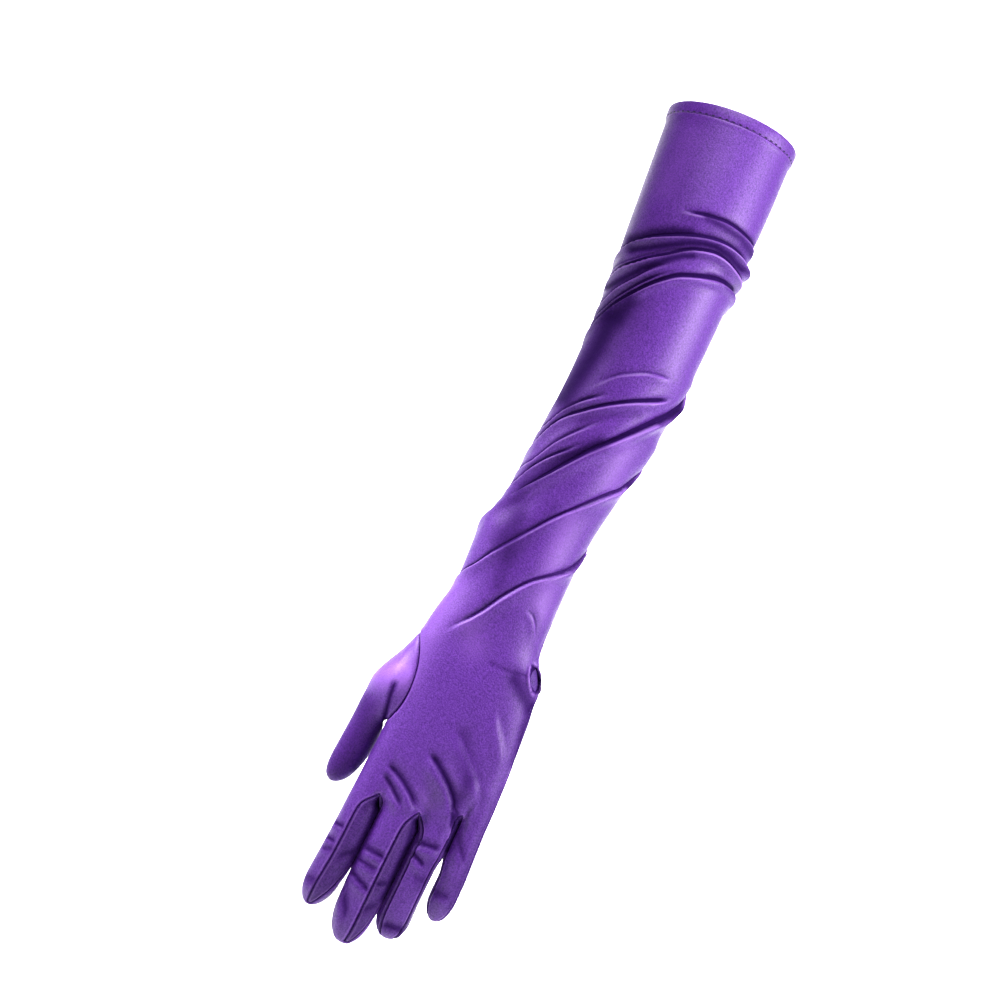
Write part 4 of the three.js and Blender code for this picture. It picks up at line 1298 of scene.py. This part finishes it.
def weave_group():
    """Fine mottled grain of crepe-backed satin: masks for colour and gloss, and the threads' height."""
    if "glove_weave" in bpy.data.node_groups:
        return bpy.data.node_groups["glove_weave"]
    tree = bpy.data.node_groups.new("glove_weave", "ShaderNodeTree")
    grain = tree.interface.new_socket("Grain size", in_out="INPUT", socket_type="NodeSocketFloat")
    grain.default_value = 1.0
    for name in ("Grain", "Patches", "Height"):
        tree.interface.new_socket(name, in_out="OUTPUT", socket_type="NodeSocketFloat")
    graph = Graph(tree)
    given = graph.add("NodeGroupInput")
    place = graph.add("ShaderNodeTexCoord").outputs["Object"]
    scale = graph.maths("DIVIDE", 1020.0, given.outputs["Grain size"])
    mottle = graph.add(
        "ShaderNodeTexNoise", {"Vector": place, "Scale": scale, "Detail": 2.0, "Roughness": 0.7}
    ).outputs["Fac"]
    patches = graph.add(
        "ShaderNodeTexNoise", {"Vector": place, "Scale": 34.0, "Detail": 3.0, "Roughness": 0.55}
    ).outputs["Fac"]
    fine = graph.add(
        "ShaderNodeTexNoise",
        {"Vector": place, "Scale": graph.maths("MULTIPLY", scale, 2.1), "Detail": 1.0},
    ).outputs["Fac"]
    height = graph.maths("MULTIPLY_ADD", fine, 0.4, mottle)
    graph.add("NodeGroupOutput", {"Grain": mottle, "Patches": patches, "Height": height})
    return tree


def tinted(colour, share, added=(0.0, 0.0, 0.0)):
    """A share of a colour with a little of another added."""
    return (*(c * share + more for c, more in zip(colour, added)), 1.0)


def satin_material(name, colour, look, gloss_share):
    """Satin with a broad lilac gloss over a deep violet. Painted shade makes it dark and dull in its creases,
    as is the seams' dark line, and painted highlights lighten its crests.
    """
    material = bpy.data.materials.new(name)
    material.use_nodes = True
    tree = material.node_tree
    tree.nodes.clear()
    graph = Graph(tree)
    weave = graph.add("ShaderNodeGroup", {}, node_tree=weave_group())
    creases = graph.add("ShaderNodeGroup", {}, node_tree=crease_group())
    dark, crest = creases.outputs["Dark"], creases.outputs["Crest"]
    deep, pale = tinted(colour, 0.58), tinted(colour, 1.36, (0.026, 0.013, 0.016))
    painted_highlight_colour = tinted(colour, 1.5, (0.18, 0.115, 0.2))
    shade_and_seam_colour = tinted(colour, 0.13, (0.004, 0.0, 0.028))
    grain = graph.add(
        "ShaderNodeMapRange", {"Value": weave.outputs["Grain"], "From Min": 0.34, "From Max": 0.66}
    ).outputs["Result"]
    base = graph.mix(grain, deep, pale)
    base = graph.mix(graph.maths("MULTIPLY", weave.outputs["Patches"], 0.35), base, (*colour, 1.0))
    # Painted highlight on the crests and beside the seams, then painted shade in the creases, together with
    # the seams' dark line.
    base = graph.mix(graph.maths("MULTIPLY", crest, 0.75), base, painted_highlight_colour)
    base = graph.mix(dark, base, shade_and_seam_colour)
    rough = graph.maths("MULTIPLY_ADD", dark, 0.5, 0.44)
    grain_gloss = graph.maths("MULTIPLY_ADD", weave.outputs["Grain"], 1.4, 0.3)
    # The coat's gloss fades in the painted shade as well.
    lit = graph.maths("POWER", graph.maths("SUBTRACT", 1.0, dark), 1.7)
    gloss = graph.maths("MULTIPLY", lit, grain_gloss)
    gloss = graph.maths("MULTIPLY", gloss, look.gloss * gloss_share, clamp=True)
    height = graph.maths("MULTIPLY_ADD", weave.outputs["Height"], look.grain, creases.outputs["Height"])
    bump = graph.add(
        "ShaderNodeBump", {"Height": height, "Strength": 1.0, "Distance": MM}
    ).outputs["Normal"]
    surface = graph.add(
        "ShaderNodeBsdfPrincipled",
        {
            "Base Color": base,
            "Roughness": rough,
            "Normal": bump,
            "IOR": 1.5,
            "Specular IOR Level": 0.18,
            "Specular Tint": (*look.gloss_colour, 1.0),
            "Coat Weight": gloss,
            "Coat Roughness": look.roughness,
            "Coat IOR": 1.75,
        },
    )
    graph.add("ShaderNodeOutputMaterial", {"Surface": surface.outputs["BSDF"]})
    return material


def plain_material(name, colour, roughness):
    material = bpy.data.materials.new(name)
    material.use_nodes = True
    shader = material.node_tree.nodes["Principled BSDF"]
    shader.inputs["Base Color"].default_value = (*colour, 1.0)
    shader.inputs["Roughness"].default_value = roughness
    return material


GLOVE = {}  # the cloth and materials that the operators share


def cloth_of_glove():
    if "cloth" not in GLOVE:
        GLOVE["cloth"] = folded_glove()
    return GLOVE["cloth"]


def satin(which):
    """The material of the satin's front, of the side strips or of the inside."""
    look = bpy.context.scene.glove_look
    if which not in GLOVE:
        # The strips' smaller share of gloss goes with their painted shade.
        gloss_share = {"satin": 1.0, "strips": 0.45, "inside": 0.2}[which]
        GLOVE[which] = satin_material(f"glove_{which}", tuple(getattr(look, which)), look, gloss_share)
    return GLOVE[which]


def hem_mesh(cloth, sizes):
    """The turned-in hem: a closed ring whose section is two layers of cloth with a rounded fold on top."""
    thick, height = sizes.hem_thickness, HEM_HEIGHT - SEAM_GAP
    section = []
    for t in np.linspace(0, 1, 9):
        section.append((HEM_PROUD + HEM_SWELL * np.sin(np.pi * t), -(height + SEAM_GAP) * (1 - t)))
    for turn in np.linspace(0, np.pi, 9)[1:-1]:
        section.append((HEM_PROUD - thick / 2 * (1 - np.cos(turn)), thick / 2 * np.sin(turn)))
    for t in np.linspace(1, 0, 7):
        section.append((HEM_PROUD - thick, -height * (1 - t)))
    section.append((HEM_PROUD - thick / 2, -height + 0.3))
    section = np.array(section)
    heights = section[:, 1] - thick / 2
    on_sleeve = np.minimum(heights, -0.05)
    points, _, _ = sleeve_places(on_sleeve)
    points[..., 2] += (heights - on_sleeve)[:, None]
    middle = points.mean(axis=1, keepdims=True)
    out = points - middle
    out[..., 2] = 0
    out /= np.linalg.norm(out, axis=-1, keepdims=True)
    turn = np.arange(AROUND) * 2 * np.pi / AROUND
    pull = HEM_PULL * np.sin(turn * HEM_PULLS) * smooth((-section[:, 1] - 3.5) / 3)[:, None]
    points = points + out * (section[:, :1] + pull)[..., None]
    count = len(section)
    ids = np.arange(count * AROUND).reshape(count, AROUND)
    wrapped = closed(np.vstack([ids, ids[:1]]))
    corners = quads_of(wrapped[::-1]).reshape(-1, 4)
    across = np.broadcast_to(np.arange(AROUND + 1) / AROUND * 252, wrapped.shape)
    down = np.broadcast_to(np.append(section[:, 1], section[0, 1])[:, None], wrapped.shape)
    uv = quads_of(np.stack([across, down], axis=-1)[::-1]).reshape(-1, 4, 2)
    total = count * AROUND
    return SimpleNamespace(
        places=points.reshape(-1, 3),
        faces=corners.tolist(),
        coordinates=uv.reshape(-1, 2),
        inside=[0] * len(corners),
        away=np.full((2, total), 9.0),
        strength=np.zeros((2, total)),
        shade=np.zeros(total),
        seam=np.full(total, 9.0),
    )


def stitch_tree():
    """Geometry nodes that lay stitches along a line: a capsule at every pitch, turned to the line."""
    tree = bpy.data.node_groups.new("glove_stitches", "GeometryNodeTree")
    sockets = {}
    tree.interface.new_socket("Geometry", in_out="INPUT", socket_type="NodeSocketGeometry")
    for name, value in [("Pitch", 0.003), ("Length", 0.002), ("Thickness", 0.0004)]:
        socket = tree.interface.new_socket(name, in_out="INPUT", socket_type="NodeSocketFloat")
        socket.default_value = value
        sockets[name] = socket.identifier
    thread = tree.interface.new_socket("Thread", in_out="INPUT", socket_type="NodeSocketMaterial")
    sockets["Thread"] = thread.identifier
    tree.interface.new_socket("Geometry", in_out="OUTPUT", socket_type="NodeSocketGeometry")
    graph = Graph(tree)
    given = graph.add("NodeGroupInput")
    curve = graph.add("GeometryNodeMeshToCurve", {"Mesh": given.outputs["Geometry"]})
    points = graph.add(
        "GeometryNodeCurveToPoints",
        {"Curve": curve.outputs["Curve"], "Length": given.outputs["Pitch"]},
        mode="LENGTH",
    )
    ball = graph.add("GeometryNodeMeshUVSphere", {"Segments": 6, "Rings": 4, "Radius": 0.5})
    stretch = graph.add(
        "ShaderNodeCombineXYZ",
        {"X": given.outputs["Thickness"], "Y": given.outputs["Thickness"], "Z": given.outputs["Length"]},
    )
    laid = graph.add(
        "GeometryNodeInstanceOnPoints",
        {
            "Points": points.outputs["Points"],
            "Instance": ball.outputs["Mesh"],
            "Rotation": points.outputs["Rotation"],
            "Scale": stretch.outputs["Vector"],
        },
    )
    real = graph.add("GeometryNodeRealizeInstances", {"Geometry": laid.outputs["Instances"]})
    painted = graph.add(
        "GeometryNodeSetMaterial",
        {"Geometry": real.outputs["Geometry"], "Material": given.outputs["Thread"]},
    )
    graph.add("NodeGroupOutput", {"Geometry": painted.outputs["Geometry"]})
    return tree, sockets


def stitches(name, lines, pitch, length, thickness, thread):
    """Stitches along lines of places in mm, made by geometry nodes and kept as a plain mesh."""
    if "stitches" not in GLOVE:
        GLOVE["stitches"] = stitch_tree()
    tree, sockets = GLOVE["stitches"]
    places, edges = [], []
    for line in lines:
        first = len(places)
        places += [Vector(p) * MM for p in line]
        edges += [(first + i, first + i + 1) for i in range(len(line) - 1)]
    mesh = bpy.data.meshes.new(name + "_line")
    mesh.from_pydata(places, edges, [])
    path = bpy.data.objects.new(name + "_line", mesh)
    bpy.context.scene.collection.objects.link(path)
    modifier = path.modifiers.new("stitches", "NODES")
    modifier.node_group = tree
    for label, value in [("Pitch", pitch), ("Length", length), ("Thickness", thickness), ("Thread", thread)]:
        modifier[sockets[label]] = value * MM if isinstance(value, float) else value
    bpy.context.view_layer.update()
    seen = path.evaluated_get(bpy.context.evaluated_depsgraph_get())
    made = bpy.data.meshes.new_from_object(seen)
    made.name = name
    made.polygons.foreach_set("use_smooth", [True] * len(made.polygons))
    bpy.data.objects.remove(path)
    thing = bpy.data.objects.new(name, made)
    bpy.context.scene.collection.objects.link(thing)
    return thing


def on_surface(cloth, places, lift):
    """Places of the smooth face moved onto the folded one, and proud of it by lift."""
    if "nearest" not in GLOVE:
        GLOVE["nearest"] = nearest_of(cloth.points)
    moved = []
    for place in places:
        near = GLOVE["nearest"].find_n(place, 4)
        weights = np.array([1 / (distance + 0.05) for _, _, distance in near])
        ids = [i for _, i, _ in near]
        height = float(cloth.relief.height[ids] @ weights / weights.sum())
        normal = cloth.normals[ids].T @ weights
        moved.append(place + normal / np.linalg.norm(normal) * (height + lift))
    return np.array(moved)


def beside(cloth, ids, distance):
    """A line that runs beside a seam, on the side of the cloth whose border the ids follow."""
    points, normals = cloth.points[ids], cloth.normals[ids]
    along = np.gradient(points, axis=0)
    side = np.cross(normals, along)
    side /= np.maximum(np.linalg.norm(side, axis=1, keepdims=True), 1e-9)
    return points + side * distance


class GloveSizes(bpy.types.PropertyGroup):
    """Sizes that a user would change, in millimetres."""

    hem_thickness: FloatProperty(
        name="Hem thickness", description="Two layers of cloth at the cuff, in mm", default=2.4
    )
    hem_stitch_pitch: FloatProperty(
        name="Hem stitch pitch", description="From stitch to stitch, in mm", default=4.4
    )
    hem_stitch: FloatProperty(
        name="Hem stitch length", description="Length of a hem stitch, in mm", default=2.9
    )
    seam_stitch_pitch: FloatProperty(
        name="Seam stitch pitch", description="From stitch to stitch, in mm", default=2.0
    )


class GloveLook(bpy.types.PropertyGroup):
    """Colours and finish of the satin."""

    satin: FloatVectorProperty(
        name="Satin", description="Colour of the satin", subtype="COLOR", default=(0.085, 0.012, 0.270)
    )
    # The side strips are the same satin. Their darker colour is painted shade, as they face sideways between
    # the fingers.
    strips: FloatVectorProperty(
        name="Side strips", description="Colour of the strips between the fingers", subtype="COLOR",
        default=(0.045, 0.007, 0.155),
    )
    inside: FloatVectorProperty(
        name="Inside", description="Colour of the satin's dull side", subtype="COLOR",
        default=(0.07, 0.026, 0.215),
    )
    thread: FloatVectorProperty(
        name="Thread", description="Colour of the hem's stitches", subtype="COLOR",
        default=(0.006, 0.002, 0.022),
    )
    seam_thread: FloatVectorProperty(
        name="Seam thread", description="Colour of the seams' stitches", subtype="COLOR",
        default=(0.054, 0.018, 0.198),
    )
    gloss_colour: FloatVectorProperty(
        name="Gloss", description="Colour of the satin's gloss", subtype="COLOR", default=(0.86, 0.62, 1.0)
    )
    roughness: FloatProperty(
        name="Roughness", description="Roughness of the satin's gloss", default=0.5, min=0, max=1
    )
    gloss: FloatProperty(name="Gloss level", description="Strength of the gloss", default=0.5, min=0, max=1)
    grain: FloatProperty(
        name="Grain height", description="Height of the weave's grain, in mm", default=0.42, min=0, max=1
    )


class StageSizes(bpy.types.PropertyGroup):
    """The floor, the lights and the camera."""

    floor_drop: FloatProperty(
        name="Floor drop", description="From the fingertips down to the floor", default=0.35, unit="LENGTH"
    )
    camera_distance: FloatProperty(
        name="Camera distance", description="From the camera to the glove", default=2.0, unit="LENGTH"
    )
    camera_roll: FloatProperty(
        name="Camera roll", description="The glove leans this much in the picture",
        default=math.radians(26), subtype="ANGLE",
    )
    camera_dip: FloatProperty(
        name="Camera dip", description="The camera looks up by this much",
        default=math.radians(2), subtype="ANGLE",
    )
    key_power: FloatProperty(name="Key light", description="Power of the upper light, in watts", default=27.5)
    side_power: FloatProperty(
        name="Side light", description="Power of the right light, in watts", default=2.7
    )
    wrist_power: FloatProperty(
        name="Wrist light", description="Power of the small light at the thumb's side, in watts", default=0.45
    )
    backdrop_power: FloatProperty(
        name="Backdrop light", description="Power of the light on the backdrop, in watts", default=220.0
    )
    sky: FloatProperty(name="Sky", description="Strength of the light from all round", default=0.06)


class GLOVE_OT_sleeve_and_hand(bpy.types.Operator):
    """The main cloth: sleeve, back and palm, with the fingers' backs and palm sides"""

    bl_idname = "glove.sleeve_and_hand"
    bl_label = "Sleeve and hand"

    def execute(self, context):
        built = piece_mesh(cloth_of_glove(), BODY_CLOTH)
        thing = make_object("satin_sleeve_and_hand", built, [satin("satin"), satin("inside")])
        dress(thing, "satin", *BODY_NODES)
        return {"FINISHED"}


class GLOVE_OT_thumb(bpy.types.Operator):
    """The thumb, sewn into its oval hole"""

    bl_idname = "glove.thumb"
    bl_label = "Thumb"

    def execute(self, context):
        built = piece_mesh(cloth_of_glove(), "thumb")
        dress(make_object("satin_thumb", built, [satin("satin"), satin("inside")]), "satin", "thumb")
        return {"FINISHED"}


class GLOVE_OT_side_strips(bpy.types.Operator):
    """The three forked strips between neighbouring fingers"""

    bl_idname = "glove.side_strips"
    bl_label = "Side strips"

    def execute(self, context):
        for strip in STRIPS:
            built = piece_mesh(cloth_of_glove(), strip)
            name = "satin_" + strip
            dress(make_object(name, built, [satin("strips"), satin("inside")]), "satin_strips", strip)
        return {"FINISHED"}


class GLOVE_OT_hem(bpy.types.Operator):
    """The turned-in hem at the cuff"""

    bl_idname = "glove.hem"
    bl_label = "Hem"

    def execute(self, context):
        built = hem_mesh(cloth_of_glove(), context.scene.glove_sizes)
        dress(make_object("satin_hem", built, [satin("satin")]), "satin", "hem")
        return {"FINISHED"}


class GLOVE_OT_stitches(bpy.types.Operator):
    """Rows of stitches: the hem's long ones, and small ones along the seams"""

    bl_idname = "glove.stitches"
    bl_label = "Stitches"

    def execute(self, context):
        cloth = cloth_of_glove()
        sizes, look = context.scene.glove_sizes, context.scene.glove_look
        thread = plain_material("glove_thread", tuple(look.thread), 0.9)
        light_thread = plain_material("glove_thread_light", tuple(look.seam_thread), 0.6)
        ring, _, _ = sleeve_places([-HEM_HEIGHT - 0.35])
        ring = closed(ring)[0]
        hem = stitches(
            "hem_stitches", [on_surface(cloth, ring, 0.5)],
            sizes.hem_stitch_pitch, sizes.hem_stitch, 1.2, thread,
        )
        dress(hem, "satin")
        seams = [on_surface(cloth, beside(cloth, line, 1.0), 0.05) for line in seam_lines(cloth)]
        small = stitches("finger_and_thumb_stitches", seams, sizes.seam_stitch_pitch, 1.0, 0.26, light_thread)
        dress(small, "satin")
        side = stitches(
            "side_seam_stitches", [on_surface(cloth, side_seam_line(cloth), 0.12)],
            sizes.seam_stitch_pitch, 1.1, 0.3, light_thread,
        )
        dress(side, "satin")
        return {"FINISHED"}


LAMP_COLOUR = (1.0, 0.88, 1.0)


def softbox(name, toward, distance, size, power, centre, spread=180, colour=LAMP_COLOUR):
    """A square area light that looks at a place, with its beam as wide as spread in degrees."""
    data = bpy.data.lights.new(name, "AREA")
    data.shape = "RECTANGLE"
    data.size, data.size_y = size
    data.energy = power
    data.color = colour
    data.spread = math.radians(spread)
    lamp = bpy.data.objects.new(name, data)
    toward = Vector(toward).normalized()
    lamp.location = centre + toward * distance
    lamp.rotation_euler = toward.to_track_quat("Z", "Y").to_euler()
    bpy.context.scene.collection.objects.link(lamp)
    return lamp


def backdrop(floor_z, width, front, back, top, radius):
    """A floor that curves up into a wall behind the glove."""
    profile = [(front, floor_z), (back - radius, floor_z)]
    for turn in np.linspace(0, math.pi / 2, 17)[1:]:
        profile.append((back - radius + radius * math.sin(turn), floor_z + radius * (1 - math.cos(turn))))
    profile.append((back, top))
    places = [(x, y, z) for y, z in profile for x in (-width / 2, width / 2)]
    faces = [(2 * i, 2 * i + 1, 2 * i + 3, 2 * i + 2) for i in range(len(profile) - 1)]
    mesh = bpy.data.meshes.new("backdrop")
    mesh.from_pydata(places, [], faces)
    mesh.polygons.foreach_set("use_smooth", [True] * len(faces))
    mesh.materials.append(plain_material("backdrop_paper", (0.92, 0.92, 0.93), 0.9))
    thing = bpy.data.objects.new("backdrop", mesh)
    bpy.context.scene.collection.objects.link(thing)
    return thing


PICTURE_CENTRE = Vector((-30.0, -10.0, -268.0)) * MM  # the place in the middle of the picture
PICTURE_WIDTH = 0.612  # what the picture shows from side to side at the glove


class GLOVE_OT_stage(bpy.types.Operator):
    """Pale floor and backdrop, soft lights and the camera"""

    bl_idname = "glove.stage"
    bl_label = "Stage"

    def execute(self, context):
        scene = context.scene
        sizes = scene.glove_stage
        low, _ = CAD_BOX
        backdrop(low.z - sizes.floor_drop, 12.0, -6.0, 3.2, 5.0, 1.4)
        softbox("key_light", (-0.05, -0.48, 0.88), 1.45, (0.95, 0.75), sizes.key_power, PICTURE_CENTRE)
        elbow = Vector((0.02, 0.0, -0.13))
        softbox("side_light", (0.93, -0.36, 0.15), 0.9, (0.35, 0.6), sizes.side_power, elbow, 70)
        wrist = Vector((-0.036, -0.01, -0.372))
        softbox("wrist_light", (-0.8, -0.25, 0.55), 0.5, (0.16, 0.16), sizes.wrist_power, wrist, 48)
        behind = Vector((0.0, 2.2, 0.0))
        white = (1, 1, 1)
        softbox("backdrop_light", (0, -0.35, 0.94), 1.6, (3.5, 0.8), sizes.backdrop_power, behind, 150, white)
        world = scene.world or bpy.data.worlds.new("studio")
        scene.world = world
        world.use_nodes = True
        sky = world.node_tree.nodes["Background"]
        sky.inputs["Color"].default_value = (1, 1, 1, 1)
        sky.inputs["Strength"].default_value = sizes.sky
        camera_data = bpy.data.cameras.new("camera")
        camera_data.sensor_width = 36.0
        camera_data.lens = camera_data.sensor_width * sizes.camera_distance / PICTURE_WIDTH
        camera_data.clip_start, camera_data.clip_end = 0.05, 50
        camera = bpy.data.objects.new("camera", camera_data)
        ahead = Vector((0, math.cos(sizes.camera_dip), math.sin(sizes.camera_dip)))
        camera.location = PICTURE_CENTRE - ahead * sizes.camera_distance
        level = ahead.to_track_quat("-Z", "Z").to_matrix()
        rolled = level @ Matrix.Rotation(sizes.camera_roll, 3, "Z")
        camera.rotation_euler = rolled.to_euler()
        scene.collection.objects.link(camera)
        scene.camera = camera
        scene.view_settings.view_transform = "Standard"
        return {"FINISHED"}


STEPS = [
    GLOVE_OT_sleeve_and_hand,
    GLOVE_OT_thumb,
    GLOVE_OT_side_strips,
    GLOVE_OT_hem,
    GLOVE_OT_stitches,
    GLOVE_OT_stage,
]


class GLOVE_PT_panel(bpy.types.Panel):
    """Lists the glove's pieces and their sizes"""

    bl_idname = "GLOVE_PT_panel"
    bl_label = "Opera glove"
    bl_space_type = "VIEW_3D"
    bl_region_type = "UI"
    bl_category = "Glove"

    def draw(self, context):
        scene = context.scene
        for group in (scene.glove_sizes, scene.glove_look, scene.glove_stage):
            box = self.layout.box()
            for name in group.bl_rna.properties.keys():
                if name not in ("rna_type", "name"):
                    box.prop(group, name)
        for step in STEPS:
            self.layout.operator(step.bl_idname)


CLASSES = [GloveSizes, GloveLook, StageSizes, *STEPS, GLOVE_PT_panel]


def register():
    for each in CLASSES:
        bpy.utils.register_class(each)
    bpy.types.Scene.glove_sizes = PointerProperty(type=GloveSizes)
    bpy.types.Scene.glove_look = PointerProperty(type=GloveLook)
    bpy.types.Scene.glove_stage = PointerProperty(type=StageSizes)


def unregister():
    del bpy.types.Scene.glove_stage
    del bpy.types.Scene.glove_look
    del bpy.types.Scene.glove_sizes
    for each in reversed(CLASSES):
        bpy.utils.unregister_class(each)


def main():
    register()
    for step in STEPS:
        family, name = step.bl_idname.split(".")
        getattr(getattr(bpy.ops, family), name)()


if __name__ == "__main__":
    main()
